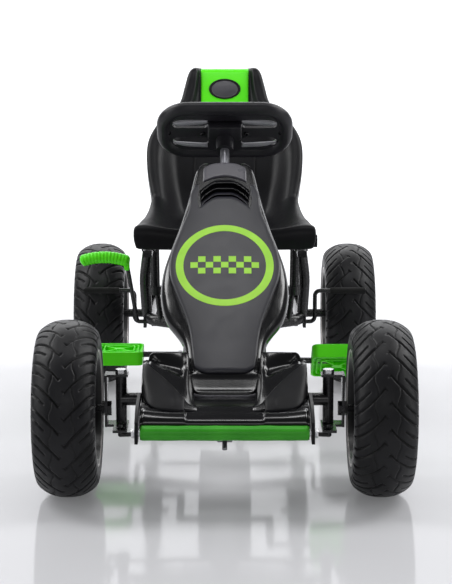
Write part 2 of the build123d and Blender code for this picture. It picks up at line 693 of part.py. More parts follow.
def toothed_wheel(teeth, pitch_radius, thickness, bore):
    """A chain wheel with one tooth per pitch, flat along X."""
    root = pitch_radius - 4.0
    tip = pitch_radius + 3.5
    blank = Circle(root)
    tooth = make_face(Polyline((root - 2, -3.4), (root + 1, -3.2), (tip, -1.2), (tip, 1.2),
                               (root + 1, 3.2), (root - 2, 3.4), close=True))
    for index in range(teeth):
        blank += Rot(0, 0, index * 360 / teeth) * tooth
    blank -= Circle(bore)
    return extrude(Plane.YZ * blank, amount=thickness / 2, both=True)


def chainring():
    y, z = CRANK_CENTRE
    wheel = toothed_wheel(CHAINRING_TEETH, CHAINRING_RADIUS, 4, CRANK_SHAFT_RADIUS)
    for turn in range(5):
        hole = Rot(turn * 72, 0, 0) * Pos(0, 32, 0) * Rot(0, 90, 0) * Cylinder(11, 20)
        wheel -= hole
    return Pos(CHAIN_X, y, z) * wheel


def rear_sprocket():
    wheel = toothed_wheel(SPROCKET_TEETH, SPROCKET_RADIUS, 4, AXLE_RADIUS)
    wheel += Rot(0, 90, 0) * (Cylinder(14, 16) - Cylinder(AXLE_RADIUS, 20))
    return Pos(CHAIN_X, REAR_Y, AXLE_Z) * wheel


def pedal_centre(side):
    """Y and Z of a pedal's spindle at rest: the rider's left pedal (+X) is the forward one."""
    y, z = CRANK_CENTRE
    return (y - side * CRANK_RADIUS * cos(radians(CRANK_LIFT)),
            z + side * CRANK_RADIUS * sin(radians(CRANK_LIFT)))


def crank():
    """One bent bar: shaft, two arms and two pedal spindles."""
    y, z = CRANK_CENTRE
    bar = rod((-CRANK_ARM_X, y, z), (CRANK_ARM_X, y, z), CRANK_SHAFT_RADIUS)
    for side in (-1, 1):
        py, pz = pedal_centre(side)
        arm_x = side * CRANK_ARM_X
        end_x = side * (PEDAL_INNER_X + PEDAL_SIZE[0] - 8)
        bar += rod((arm_x, y, z), (arm_x, py, pz), 7)
        bar += Pos(arm_x, y, z) * Sphere(7)
        bar += Pos(arm_x, py, pz) * Sphere(7)
        bar += rod((arm_x, py, pz), (end_x, py, pz), 5)
    return bar


def pedal(side):
    """A block with a bore for the spindle and framed recesses in its two broad faces."""
    width, depth, thick = PEDAL_SIZE
    block = extrude(RectangleRounded(width, depth, 8), amount=thick / 2, both=True)
    recess = extrude(Pos(0, 0, thick / 2 - 3) * (RectangleRounded(width - 12, depth - 12, 5)
                     - RectangleRounded(width - 26, depth - 26, 4)), amount=10)
    inner = extrude(Pos(0, 0, thick / 2 - 3) * RectangleRounded(width - 36, depth - 36, 3), amount=10)
    block -= recess + inner + mirror(recess, about=Plane.XY) + mirror(inner, about=Plane.XY)
    block -= rod((-width, 0, 0), (width / 2 - 5, 0, 0), 5 + RUNNING)
    pitch = FORWARD_PEDAL_PITCH if side > 0 else 0
    block = Rot(-pitch, 0, 0) * block
    if side < 0:
        block = other_side(block)
    y, z = pedal_centre(side)
    return Pos(side * (PEDAL_INNER_X + width / 2), y, z) * block


def rear_axle():
    """The live axle, with a nut in each hub."""
    end = WHEEL_X + 26
    shaft = rod((-end - 8, REAR_Y, AXLE_Z), (end + 8, REAR_Y, AXLE_Z), AXLE_RADIUS)
    collar = ring((HOOP_ARM_X - 16, REAR_Y, AXLE_Z), (HOOP_ARM_X - 8, REAR_Y, AXLE_Z), 13, 7)
    return shaft + collar + other_side(collar)


def make_drive():
    save("rear_axle", rear_axle())
    save("rear_sprocket", rear_sprocket())
    save("chainring", chainring())
    save("crank", crank())
    save("pedal_left", pedal(1))
    save("pedal_right", pedal(-1))


# ---- brake --------------------------------------------------------------------------------
BRAKE_BAR_Z = 206.0
BRAKE_BAR_Y = 264.0
LEVER_TOP_Z = 262.0
LEVER_TOP_Y = 243.0


def brake_rod():
    """One bent bar: cross shaft, cranked ends in front of both tyres, and the hand lever."""
    y, z = BRAKE_PIVOT
    half = [(171, y, z), (171, BRAKE_BAR_Y, BRAKE_BAR_Z), (267, BRAKE_BAR_Y, BRAKE_BAR_Z)]
    points = list(reversed([(-px, py, pz) for px, py, pz in half])) + half
    bar = bent_rod(points, 10, 4)
    lever = rod((-166, y, z), (-184, LEVER_TOP_Y, LEVER_TOP_Z), 4)
    return bar + lever


def brake_pads():
    """Rubber sleeves over the bars that rub on the tyres."""
    sleeve = ring((200, BRAKE_BAR_Y, BRAKE_BAR_Z), (266, BRAKE_BAR_Y, BRAKE_BAR_Z), 6, 4)
    return both_sides(sleeve)


def brake_grip():
    """The arched green hand grip on the lever."""
    path = ThreePointArc((-183, LEVER_TOP_Y, 266), (-226, LEVER_TOP_Y, 273),
                         (-267, LEVER_TOP_Y, 266))
    grip = sweep(Plane(origin=path @ 0, z_dir=path % 0) * Circle(9), path=path)
    grip += Pos(-184, LEVER_TOP_Y, 266) * Sphere(9.5)
    grip += rod((-185.5, LEVER_TOP_Y + 2.5, 248), (-184, LEVER_TOP_Y, 266), 6)
    return grip - brake_rod()


def brake_spring():
    """The return spring's coil round the brake shaft."""
    y, z = BRAKE_PIVOT
    coils = []
    for turn in range(6):
        coils.append(Pos(100 + 3.1 * turn, y, z) * Rot(0, 90, 0) * Torus(6.2, 1.5))
    return coils


def make_brake():
    save("brake_rod", brake_rod())
    save("brake_pads", brake_pads())
    save("brake_grip", brake_grip())
    save("brake_spring", brake_spring())


# ---- seat ---------------------------------------------------------------------------------
SEAT_WALL = 20.0
# side view of the whole seat, and of the hollow that the rider sits in
SEAT_SIDE = [(45, SEAT_BASE), (45, 355), (55, 361), (150, 372), (205, 398), (245, 445), (290, 510),
             (340, 565), (372, 606), (384, 617), (412, 617), (424, 606), (360, 470), (300, 352),
             (270, 326), (235, SEAT_BASE)]
SEAT_INNER = [(58, 361), (80, 347), (98, 344), (202, 344), (226, 353), (245, 376), (300, 470),
              (350, 562), (384, 617)]
# half width of the seat at each height
SEAT_FRONT = [(162, SEAT_BASE), (162, 361), (140, 372), (134, 392), (142, 420), (147, 445),
              (143, 480), (128, 510), (104, 536), (86, 557), (77, 580), (72, 604), (60, 617)]


def front_outline(shrink):
    """The seat's outline seen from the front, pulled in by the wall."""
    right = [(half - shrink, z) for half, z in SEAT_FRONT]
    left = [(-half, z) for half, z in reversed(right)]
    return make_face(Polyline(*right, *left, close=True))


def seat_shell():
    """A bucket seat: side profile cut to the front outline, then hollowed above and below."""
    body = side_plate(SEAT_SIDE, -170, 170)
    body &= extrude(Plane.XZ * front_outline(0), amount=-700)
    hollow = side_plate(SEAT_INNER + [(384, 760), (-80, 760), (-80, 361)], -170, 170)
    inner = [(half - SEAT_WALL, z) for half, z in SEAT_FRONT if z >= 361]
    inner = [(inner[0][0], 330)] + inner + [(inner[-1][0], 800)]
    face = make_face(Polyline(*inner, *[(-half, z) for half, z in reversed(inner)], close=True))
    hollow &= extrude(Plane.XZ * face, amount=-700)
    below = side_plate([(52, 300), (52, 344), (80, 338), (98, 336), (204, 336), (232, 346),
                        (240, 358), (240, 300)], -118, 118)
    behind = side_plate([(254, 371), (309, 466), (359, 558), (377, 590), (440, 590), (440, 300),
                         (268, 300), (254, 352)], -170, 170)
    behind &= extrude(Plane.XZ * face, amount=-700)
    shell = body - hollow - below - behind + back_panel()
    return max(shell.solids(), key=lambda solid: solid.volume)


def headrest_panel():
    """The green panel on the front of the headrest."""
    (y1, z1), (y2, z2) = SEAT_INNER[-2], SEAT_INNER[-1]
    outline = [(y1 - 6, z1 - 9), (y1 - 2, z1 + 2), (y2 - 4, z2 - 2), (y2 - 8, z2 - 1.5),
               (y1 - 8, z1 + 3), (y1 - 12, z1 - 7)]
    return side_plate(outline, -46, 46)


def headrest_badge():
    """The plain oval boss on the headrest."""
    (y1, z1), (y2, z2) = SEAT_INNER[-2], SEAT_INNER[-1]
    rise = z2 - z1
    run = y2 - y1
    length = hypot(rise, run)
    middle = (y1 + (576 - z1) * run / rise, 576.0)
    out = (-rise / length, run / length)
    origin = (0, middle[0] + 4 * out[0], middle[1] + 4 * out[1])
    plane = Plane(origin=origin, x_dir=(1, 0, 0), z_dir=(0, out[0], out[1]))
    return extrude(plane * Ellipse(29, 20.5), amount=7)


def back_panel():
    """The raised panel on the seat's back."""
    (y1, z1), (y2, z2) = SEAT_INNER[-4], SEAT_INNER[-3]
    rate = (y2 - y1) / (z2 - z1)
    low, high = 400.0, 463.0
    near = y1 + (low - z1) * rate
    far = y1 + (high - z1) * rate
    return side_plate([(near, low), (far, high), (far - 4, high), (near - 4, low)], -58, 58)


def seat_runners():
    """Channels under the seat that wrap the rails."""
    gap = 0.5
    top = box((RAIL_X - 12, 110, RAIL_TOP + gap), (RAIL_X + 12, 270, SEAT_BASE))
    inner = box((RAIL_X - 12, 110, RAIL_TOP - 7), (RAIL_X - 8 - gap, 270, SEAT_BASE))
    outer = box((RAIL_X + 8 + gap, 110, RAIL_TOP - 7), (RAIL_X + 12, 270, SEAT_BASE))
    runner = top + inner + outer
    return both_sides(runner)


def seat_knob():
    """The clamp knob on the rider's left runner."""
    y, z = 252.0, RAIL_TOP - 3
    low = RAIL_X + 24
    knob = rod((low, y, z - 6), (low + 12, y, z - 6), 12)
    for turn in range(8):
        spot = Pos(low + 6, y, z - 6) * Rot(turn * 45, 0, 0) * Pos(0, 13.5, 0) * Rot(0, 90, 0)
        knob -= spot * Cylinder(3, 20)
    return knob + rod((RAIL_X + 12, y, z), (low + 1, y, z), 3.5)


def make_seat():
    shell = seat_shell()
    save("seat_shell", shell)
    save("headrest_panel", headrest_panel() - shell)
    save("headrest_badge", headrest_badge() - headrest_panel() - shell)
    save("seat_runners", seat_runners())
    save("seat_knob", seat_knob())


make_wheels()
make_frame()
make_front()
make_nose()
make_covers()
make_steering()
make_drive()
make_brake()
make_seat()
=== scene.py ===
import math

import bmesh
import bpy
import numpy as np
from mathutils import Matrix, Vector


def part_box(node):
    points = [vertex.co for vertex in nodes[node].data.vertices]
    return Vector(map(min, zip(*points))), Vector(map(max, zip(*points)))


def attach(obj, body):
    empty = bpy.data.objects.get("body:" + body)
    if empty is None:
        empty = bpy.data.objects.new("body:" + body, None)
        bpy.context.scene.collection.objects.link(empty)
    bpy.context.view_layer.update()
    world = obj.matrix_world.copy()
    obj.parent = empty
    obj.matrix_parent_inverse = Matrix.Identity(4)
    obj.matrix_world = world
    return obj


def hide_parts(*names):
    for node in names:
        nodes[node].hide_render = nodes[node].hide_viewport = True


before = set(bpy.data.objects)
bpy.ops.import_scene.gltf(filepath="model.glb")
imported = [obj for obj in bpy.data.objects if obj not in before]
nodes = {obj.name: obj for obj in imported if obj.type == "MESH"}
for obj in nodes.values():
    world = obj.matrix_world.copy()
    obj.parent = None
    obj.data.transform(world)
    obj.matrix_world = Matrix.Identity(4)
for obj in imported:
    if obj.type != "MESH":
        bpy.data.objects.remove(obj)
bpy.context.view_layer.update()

# Looks of the pedal go kart. Metres, Z up, ground at Z = 0. The kart faces -Y, so the rider's left is +X.
MM = 0.001


# ---- materials ----------------------------------------------------------------------------
def add_noise(tree, scale, detail=3.0, rough=0.55, stretch=(1, 1, 1)):
    """A noise texture in the object's own metres."""
    place = tree.nodes.new("ShaderNodeTexCoord")
    spread = tree.nodes.new("ShaderNodeMapping")
    spread.inputs["Scale"].default_value = stretch
    noise = tree.nodes.new("ShaderNodeTexNoise")
    noise.inputs["Scale"].default_value = scale
    noise.inputs["Detail"].default_value = detail
    noise.inputs["Roughness"].default_value = rough
    tree.links.new(place.outputs["Object"], spread.inputs["Vector"])
    tree.links.new(spread.outputs["Vector"], noise.inputs["Vector"])
    return noise.outputs["Fac"]


def add_range(tree, value, low, high, start=0.3, end=0.7):
    """The value mapped from start..end to low..high."""
    node = tree.nodes.new("ShaderNodeMapRange")
    node.inputs["From Min"].default_value = start
    node.inputs["From Max"].default_value = end
    node.inputs["To Min"].default_value = low
    node.inputs["To Max"].default_value = high
    tree.links.new(value, node.inputs["Value"])
    return node.outputs["Result"]


def add_mix(tree, amount, first, second):
    """A colour between two colours; each is an RGB tuple or a socket."""
    node = tree.nodes.new("ShaderNodeMix")
    node.data_type = "RGBA"
    tree.links.new(amount, node.inputs["Factor"])
    for name, colour in (("A", first), ("B", second)):
        socket = [s for s in node.inputs if s.name == name and s.type == "RGBA"][0]
        if isinstance(colour, tuple):
            socket.default_value = (*colour, 1)
        else:
            tree.links.new(colour, socket)
    return [s for s in node.outputs if s.type == "RGBA"][0]


def add_bump(tree, height, strength, depth):
    """Feeds a height to the shader's normal, after any bump that is there already."""
    node = tree.nodes.new("ShaderNodeBump")
    node.inputs["Strength"].default_value = strength
    node.inputs["Distance"].default_value = depth
    tree.links.new(height, node.inputs["Height"])
    target = tree.nodes["Principled BSDF"].inputs["Normal"]
    if target.links:
        tree.links.new(target.links[0].from_socket, node.inputs["Normal"])
    tree.links.new(node.outputs["Normal"], target)


def add_edges(tree, start, end):
    """How sharp the surface is here: 0 on flats, 1 along sharp edges, which get wear and a painted highlight.
    """
    node = tree.nodes.new("ShaderNodeNewGeometry")
    return add_range(tree, node.outputs["Pointiness"], 0.0, 1.0, start, end)


def make_material(name, dark, light, rough, blotch=14.0, grain=900.0, grain_bump=0.15, grain_depth=0.0002,
                  metallic=0.0, coat=0.0, edge_wear_and_highlight=None, specular=0.5):
    """A base material: two tones in soft blotches, uneven gloss, a fine grain and optional lighter edges,
    partly wear and partly a painted highlight.
    """
    material = bpy.data.materials.new(name)
    material.use_nodes = True
    tree = material.node_tree
    shader = tree.nodes["Principled BSDF"]
    shader.inputs["Metallic"].default_value = metallic
    shader.inputs["Coat Weight"].default_value = coat
    shader.inputs["Coat Roughness"].default_value = 0.06
    blot = add_noise(tree, blotch, 4.0)
    colour = add_mix(tree, add_range(tree, blot, 0.0, 1.0), dark, light)
    # lighter colour along sharp edges: partly edge wear, partly a painted highlight
    if edge_wear_and_highlight:
        colour = add_mix(tree, add_edges(tree, 0.52, 0.62), colour, edge_wear_and_highlight)
    tree.links.new(colour, shader.inputs["Base Color"])
    smudge = add_noise(tree, blotch * 5, 5.0, 0.65)
    tree.links.new(add_range(tree, smudge, rough[0], rough[1]), shader.inputs["Roughness"])
    shader.inputs["Specular IOR Level"].default_value = specular
    add_bump(tree, add_noise(tree, grain, 2.0, 0.5), grain_bump, grain_depth)
    return material


# the edge colours given below lighten sharp edges: partly wear, partly a painted highlight
BLACK_STEEL = make_material("black_powder_coat", (0.003, 0.003, 0.004), (0.006, 0.006, 0.007), (0.25, 0.29),
                            grain=700, grain_bump=0.02, grain_depth=0.00005, coat=0.15,
                            edge_wear_and_highlight=(0.03, 0.03, 0.032), specular=0.35)
GLOSS_BLACK = make_material("gloss_black_plastic", (0.002, 0.002, 0.003), (0.005, 0.005, 0.006), (0.16, 0.22),
                            grain=260, grain_bump=0.01, grain_depth=0.00005, coat=0.2, specular=0.4)
SATIN_GREY = make_material("satin_grey_panel", (0.008, 0.008, 0.013), (0.013, 0.013, 0.020), (0.34, 0.40),
                           blotch=9, grain=1500, grain_bump=0.08, specular=0.5)
PLUM_GREY = make_material("smooth_grey_insert", (0.050, 0.048, 0.060), (0.064, 0.062, 0.076), (0.26, 0.30),
                          blotch=4, grain=800, grain_bump=0.02, grain_depth=0.00003, coat=0.1)
MATTE_BLACK = make_material("matte_black_plastic", (0.0035, 0.0035, 0.0045), (0.007, 0.007, 0.009),
                            (0.38, 0.46), grain=1300, grain_bump=0.16, specular=0.18)
WHEEL_BLACK = make_material("steering_soft_black", (0.007, 0.007, 0.009), (0.015, 0.014, 0.018), (0.36, 0.46),
                            blotch=20, grain=1600, grain_bump=0.18, specular=0.35)
SLOT_GREY = make_material("slot_lip_grey", (0.20, 0.20, 0.22), (0.30, 0.30, 0.32), (0.25, 0.35), grain=900)
BRIGHT_STEEL = make_material("zinc_plated_steel", (0.42, 0.43, 0.45), (0.58, 0.59, 0.60), (0.22, 0.32),
                             blotch=40, grain=1200, grain_depth=0.00003, metallic=1.0,
                             edge_wear_and_highlight=(0.78, 0.78, 0.79))
COLUMN_STEEL = make_material("brushed_column_steel", (0.17, 0.17, 0.19), (0.21, 0.21, 0.23), (0.30, 0.34),
                             blotch=6, grain=900, grain_bump=0.03, grain_depth=0.00002, metallic=0.6)
DARK_STEEL = make_material("oiled_dark_steel", (0.03, 0.03, 0.03), (0.08, 0.075, 0.07), (0.30, 0.44),
                           blotch=60, grain=1000, grain_depth=0.00005, metallic=0.9, edge_wear_and_highlight=(0.2, 0.19, 0.18))
RIM_PLASTIC = make_material("rim_plastic", (0.006, 0.006, 0.007), (0.014, 0.014, 0.015), (0.28, 0.40),
                            grain=900, grain_bump=0.12, edge_wear_and_highlight=(0.05, 0.05, 0.05), specular=0.35)
# silver bands that paint the highlight on the rims' glossy black lips
RIM_EDGE_HIGHLIGHT = make_material("rim_edge_painted_highlight", (0.30, 0.28, 0.28), (0.46, 0.43, 0.42), (0.30, 0.42),
                           grain=700, grain_depth=0.00005, metallic=0.6)
RUBBER = make_material("dark_rubber", (0.006, 0.006, 0.006), (0.013, 0.013, 0.013), (0.6, 0.8),
                       grain=800, grain_bump=0.3, specular=0.2)
LIME = make_material("lime_plastic", (0.075, 0.74, 0.004), (0.110, 0.86, 0.008), (0.34, 0.44),
                     blotch=10, grain=1400, grain_bump=0.10, specular=0.28)
FOAM = make_material("green_foam_sleeve", (0.032, 0.290, 0.014), (0.052, 0.380, 0.022), (0.30, 0.42),
                     blotch=26, grain=1800, grain_bump=0.25, specular=0.25)
add_bump(FOAM.node_tree, add_noise(FOAM.node_tree, 45, 1.0, 0.4, (1, 0.3, 0.3)), 0.35, 0.003)
DECAL = make_material("printed_lime", (0.30, 0.66, 0.022), (0.36, 0.74, 0.035), (0.36, 0.46),
                      blotch=30, grain=2400, grain_bump=0.08)
STONE = make_material("badge_dark_grey", (0.045, 0.044, 0.052), (0.062, 0.060, 0.070), (0.38, 0.5),
                      grain=1600, grain_bump=0.3)


def make_tyre_material():
    """Charcoal rubber, dustier in its broad patches and smoother in the grooves, which painted shade darkens.
    """
    material = make_material("tyre_rubber", (0.005, 0.005, 0.006), (0.010, 0.010, 0.012), (0.38, 0.52),
                             blotch=16, grain=1100, grain_bump=0.18, specular=0.25)
    tree = material.node_tree
    shader = tree.nodes["Principled BSDF"]
    before = shader.inputs["Base Color"].links[0].from_socket
    depth = tree.nodes.new("ShaderNodeAttribute")
    depth.attribute_name = "groove"
    cut = add_range(tree, depth.outputs["Fac"], 0, 1, 0.1, 0.9)
    # the grooves are mixed towards near-black: painted shade in the recesses
    colour = add_mix(tree, cut, before, (0.006, 0.006, 0.006))
    tree.links.new(colour, shader.inputs["Base Color"])
    return material


TYRE = make_tyre_material()


def dress(material, *names):
    """Gives CAD nodes a material, and leaves their shape alone."""
    for name in names:
        thing = nodes[name]
        thing.data.materials.clear()
        thing.data.materials.append(material)


# ---- numbers and outlines -----------------------------------------------------------------
def ramp(value, start, end):
    """0 before start, 1 after end, smooth between."""
    t = min(1.0, max(0.0, (value - start) / (end - start)))
    return t * t * (3 - 2 * t)


def rounding(edge):
    """Height of a quarter-round edge at a share of its width."""
    return math.sqrt(max(0.0, 1 - (1 - edge) ** 2))


def spline(before, start, end, after, t):
    """A Catmull-Rom curve's value at t, which runs from 0 at start to 1 at end."""
    return 0.5 * (2 * start + (end - before) * t + (2 * before - 5 * start + 4 * end - after) * t * t
                  + (3 * start - before - 3 * end + after) * t ** 3)


def table_value(table, at):
    """A smooth value between the rows of a table of (place, value)."""
    if at <= table[0][0]:
        return table[0][1]
    for i in range(len(table) - 1):
        (a, va), (b, vb) = table[i], table[i + 1]
        if at <= b:
            slope_a = slope_b = (vb - va) / (b - a)
            if i:
                slope_a = (vb - table[i - 1][1]) / (b - table[i - 1][0])
            if i + 2 < len(table):
                slope_b = (table[i + 2][1] - va) / (table[i + 2][0] - a)
            t = (at - a) / (b - a)
            h = b - a
            return ((2 * t ** 3 - 3 * t * t + 1) * va + (t ** 3 - 2 * t * t + t) * h * slope_a
                    + (3 * t * t - 2 * t ** 3) * vb + (t ** 3 - t * t) * h * slope_b)
    return table[-1][1]


def column_value(table, column, at):
    """A smooth value of one column of a table whose first column holds the places."""
    return table_value([(row[0], row[column]) for row in table], at)


def full_turn(count):
    """Evenly spaced angles round a circle."""
    return [2 * math.pi * i / count for i in range(count)]


def oval(across, up, count):
    """Points round an oval about the origin, given its two half widths."""
    return [(across * math.cos(a), up * math.sin(a)) for a in full_turn(count)]


def circle_row(centre, radius, across, up, count):
    """A ring of points about a centre, in the plane of two unit vectors."""
    return [Vector(centre) + (Vector(across) * math.cos(a) + Vector(up) * math.sin(a)) * float(radius)
            for a in full_turn(count)]


def rounded_box(width, height, corner, steps=5):
    """Points round a rectangle with round corners, centred on the origin."""
    points = []
    for quarter, (sx, sy) in enumerate(((1, 1), (-1, 1), (-1, -1), (1, -1))):
        for step in range(steps + 1):
            angle = math.pi / 2 * (quarter + step / steps)
            points.append((sx * (width / 2 - corner) + corner * math.cos(angle),
                           sy * (height / 2 - corner) + corner * math.sin(angle)))
    return points


def smooth_line(points, per_span):
    """Points along a Catmull-Rom curve through the given points."""
    points = [Vector(p) for p in points]
    ends = [2 * points[0] - points[1], *points, 2 * points[-1] - points[-2]]
    result = [spline(*ends[i:i + 4], step / per_span) for i in range(len(points) - 1)
              for step in range(per_span)]
    return result + [points[-1]]


# ---- solids as points and faces -----------------------------------------------------------
def stack_faces(count, rows, capped=True):
    """Faces of a solid made of rows of count points each: its sides, then both ends."""
    faces = []
    for r in range(rows - 1):
        for i in range(count):
            j = (i + 1) % count
            faces.append((r * count + i, r * count + j, (r + 1) * count + j, (r + 1) * count + i))
    if capped:
        faces.append(tuple(reversed(range(count))))
        faces.append(tuple((rows - 1) * count + i for i in range(count)))
    return faces


def ring_faces(count, sides):
    """Faces of a closed ring of count sections with the same number of points each."""
    faces = []
    for i in range(count):
        j = (i + 1) % count
        faces += [(sides * i + k, sides * i + (k + 1) % sides, sides * j + (k + 1) % sides, sides * j + k)
                  for k in range(sides)]
    return faces


def prism(outline, low, high, place):
    """A flat outline made solid between two heights; place turns (x, y, z) into a point."""
    points = [place(x, y, z) for z in (low, high) for x, y in outline]
    return points, stack_faces(len(outline), 2)


def hexagon(centre, axis, across_flats, length, turn=0.0):
    """A bolt head's chamfered six-sided solid: points and faces."""
    axis = Vector(axis).normalized()
    guide = Vector((0, 0, 1)) if abs(axis.z) < 0.9 else Vector((0, 1, 0))
    across = axis.cross(guide).normalized()
    up = axis.cross(across)
    radius = across_flats / math.sqrt(3)
    points = []
    for share, size in ((0, 1), (0.8, 1), (1, 0.86)):
        points += [Vector(centre) + axis * length * share + radius * size
                   * (math.cos(a + turn) * across + math.sin(a + turn) * up) for a in full_turn(6)]
    return points, stack_faces(6, 3)


def panel(across, ups, pair):
    """A thin closed panel: pair(share across, share along) gives its front and its back point."""
    pairs = [pair(q, v) for v in ups for q in across]
    points = [front for front, _ in pairs] + [back for _, back in pairs]
    wide, tall = len(across), len(ups)
    flat = wide * tall
    faces = []
    for i in range(tall - 1):
        for j in range(wide - 1):
            quad = (i * wide + j, i * wide + j + 1, (i + 1) * wide + j + 1, (i + 1) * wide + j)
            faces.append(quad)
            faces.append(tuple(flat + k for k in reversed(quad)))
    rim = [(0, j) for j in range(wide)] + [(i, wide - 1) for i in range(1, tall)]
    rim += [(tall - 1, j) for j in range(wide - 2, -1, -1)] + [(i, 0) for i in range(tall - 2, 0, -1)]
    for (a, b), (c, d) in zip(rim, rim[1:] + rim[:1]):
        faces.append((a * wide + b, c * wide + d, flat + c * wide + d, flat + a * wide + b))
    return points, faces


# ---- pieces -------------------------------------------------------------------------------
def face_outward(mesh):
    """Turns a closed mesh's faces outwards."""
    work = bmesh.new()
    work.from_mesh(mesh)
    bmesh.ops.recalc_face_normals(work, faces=work.faces)
    work.to_mesh(mesh)
    work.free()


def finish_piece(name, mesh, material, body, slot, smooth=True, subdivide=0, bevel=0.0, stands_for=()):
    """Links a mesh as a piece, with its material, modifiers and body; slot is not used."""
    piece = bpy.data.objects.new(name, mesh)
    bpy.context.scene.collection.objects.link(piece)
    mesh.materials.clear()
    for item in material if isinstance(material, list) else [material]:
        mesh.materials.append(item)
    for face in mesh.polygons:
        face.use_smooth = smooth
    if bevel:
        edge = piece.modifiers.new("bevel", "BEVEL")
        edge.width = bevel
        edge.segments = 3
        edge.limit_method = "ANGLE"
        edge.angle_limit = math.radians(35)
    if subdivide:
        sub = piece.modifiers.new("subdivision", "SUBSURF")
        sub.levels = subdivide
        sub.render_levels = subdivide
    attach(piece, body)
    if stands_for:
        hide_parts(*stands_for)
    return piece


def add_object(name, points, faces, material, body, slot, **options):
    """A new mesh piece that rides on a body; the options are those of finish_piece."""
    mesh = bpy.data.meshes.new(name)
    mesh.from_pydata([tuple(p) for p in points], [], [tuple(f) for f in faces])
    mesh.validate()
    face_outward(mesh)
    return finish_piece(name, mesh, material, body, slot, **options)


def join(name, solids, material, body, slot, **options):
    """Merges solids, each a pair of points and faces, into one piece."""
    points, faces = [], []
    for some_points, some_faces in solids:
        start = len(points)
        points.extend(some_points)
        faces.extend(tuple(start + i for i in face) for face in some_faces)
    return add_object(name, points, faces, material, body, slot, **options)


def add_loft(name, rows, material, body, slot, capped=True, **options):
    """A skin through rows of points; each row is a closed loop."""
    points = [p for row in rows for p in row]
    faces = stack_faces(len(rows[0]), len(rows), capped)
    return add_object(name, points, faces, material, body, slot, **options)


def add_tube(name, path, radius, material, body, slot, sides=20, **options):
    """A round tube along points; radius is one number or one per point."""
    path = [Vector(p) for p in path]
    radii = radius if isinstance(radius, list) else [radius] * len(path)
    rows = []
    up = None
    for i, point in enumerate(path):
        before = path[max(i - 1, 0)]
        after = path[min(i + 1, len(path) - 1)]
        along = (after - before).normalized()
        if up is None:
            guide = Vector((0, 0, 1)) if abs(along.z) < 0.9 else Vector((0, 1, 0))
            up = (guide - along * guide.dot(along)).normalized()
        up = (up - along * up.dot(along)).normalized()
        rows.append(circle_row(point, radii[i], along.cross(up), up, sides))
    return add_loft(name, rows, material, body, slot, **options)


def add_patch(name, spot, top, base, material, body, slot, rim=(0.05, 0.04), columns=21, rows=30,
              **options):
    """A panel with round edges, from base up to top(q, v), where q is -1..1 across and v is 0..1 along.

    spot(q, v, lift) gives its points, and rim holds the widths of the edges as shares."""
    side, end = rim
    across = sorted({-1, -1 + side * 0.15, -1 + side * 0.5, 1, 1 - side * 0.15, 1 - side * 0.5}
                    | set(np.linspace(-1 + side, 1 - side, columns)))
    ups = sorted({0, end * 0.15, end * 0.5, 1, 1 - end * 0.15, 1 - end * 0.5}
                 | set(np.linspace(end, 1 - end, rows)))

    def pair(q, v):
        share = rounding(min(1.0, min(v, 1 - v) / end, (1 - abs(q)) / side))
        return spot(q, v, base + (top(q, v) - base) * share), spot(q, v, base)

    points, faces = panel(across, ups, pair)
    piece = add_object(name, points, faces, material, body, slot, **options)
    weld = piece.modifiers.new("weld", "WELD")
    weld.merge_threshold = 0.00002


# ---- tyres --------------------------------------------------------------------------------
TYRE_AROUND = 620      # points round a tyre
SKIN_POINTS = 132      # points across a tyre, from bead to bead
TYRE_RADIUS = 137.5    # mm, the radius on which the tread pattern is laid out
TREAD_PITCHES = 21     # repeats of the tread pattern round a tyre
TREAD_EDGE = 68        # mm from the middle along the skin, where the grooves have faded out
GROOVE_DEPTH = 3.2 * MM
RING_HEIGHT = 0.5 * MM
# raised rings on the walls: distance from the middle along the skin, and half width, in mm
WALL_RINGS = [(73, 0.8), (76.5, 0.8), (83, 0.9)]
# the body each wheel's pieces ride on
WHEEL_BODIES = {"front_left": "front_wheel_left", "front_right": "front_wheel_right",
                "rear_left": "rear_drive", "rear_right": "rear_wheel_right"}
# (across, up) points inside the tyre in mm, between the beads
TYRE_INSIDE = [(40.0, 92), (34, 100), (0, 120), (-34, 100), (-40, 92)]
# (across, up) control points of the outer skin in mm, from bead to crown; the other half mirrors it
TYRE_SKIN = [(41, 86.5), (46.2, 91), (47.6, 97), (47.9, 104), (47.6, 110), (46.0, 116.5), (42.6, 121.8),
             (37.5, 126.2), (31.0, 130.4), (22.0, 134.4), (11.0, 136.8), (0.0, 137.4)]
# tread grooves on one side as ((across, along) points in mm, half width in mm, depth share);
# the other side mirrors them half a pitch further on
TREAD = [
    ([(62.0, 27.0), (52.0, 24.0), (41.0, 18.5), (30.0, 10.0), (19.0, 0.0)], 1.55, 1.0),
    ([(19.0, 0.0), (12.0, -7.0), (4.5, -16.5)], 1.15, 1.0),
    ([(4.5, -16.5), (1.5, -13.0)], 0.9, 0.7),
    ([(14.0, -5.0), (16.0, -18.0), (20.5, -29.0), (19.5, -36.0)], 0.6, 0.8),
    ([(58.0, 7.5), (50.0, 5.0)], 2.0, 1.0),
    ([(50.0, 5.0), (38.0, -2.5)], 1.6, 1.0),
    ([(38.0, -2.5), (27.0, -11.5)], 1.0, 0.9),
    ([(61.0, -8.0), (54.0, -10.5)], 0.9, 0.5),
]


def skin_line():
    """The tyre's outer section from one bead to the other, evenly spaced, with distance from the middle."""
    half = smooth_line([(x * MM, r * MM, 0) for x, r in TYRE_SKIN], 6)
    full = [(-p.x, p.y) for p in half[:-1]] + [(p.x, p.y) for p in reversed(half)]
    full = np.array(full)
    steps = np.hypot(*np.diff(full, axis=0).T)
    run = np.concatenate([[0], np.cumsum(steps)])
    even = np.linspace(0, run[-1], SKIN_POINTS)
    return np.interp(even, run, full[:, 0]), np.interp(even, run, full[:, 1]), (even - run[-1] / 2) / MM


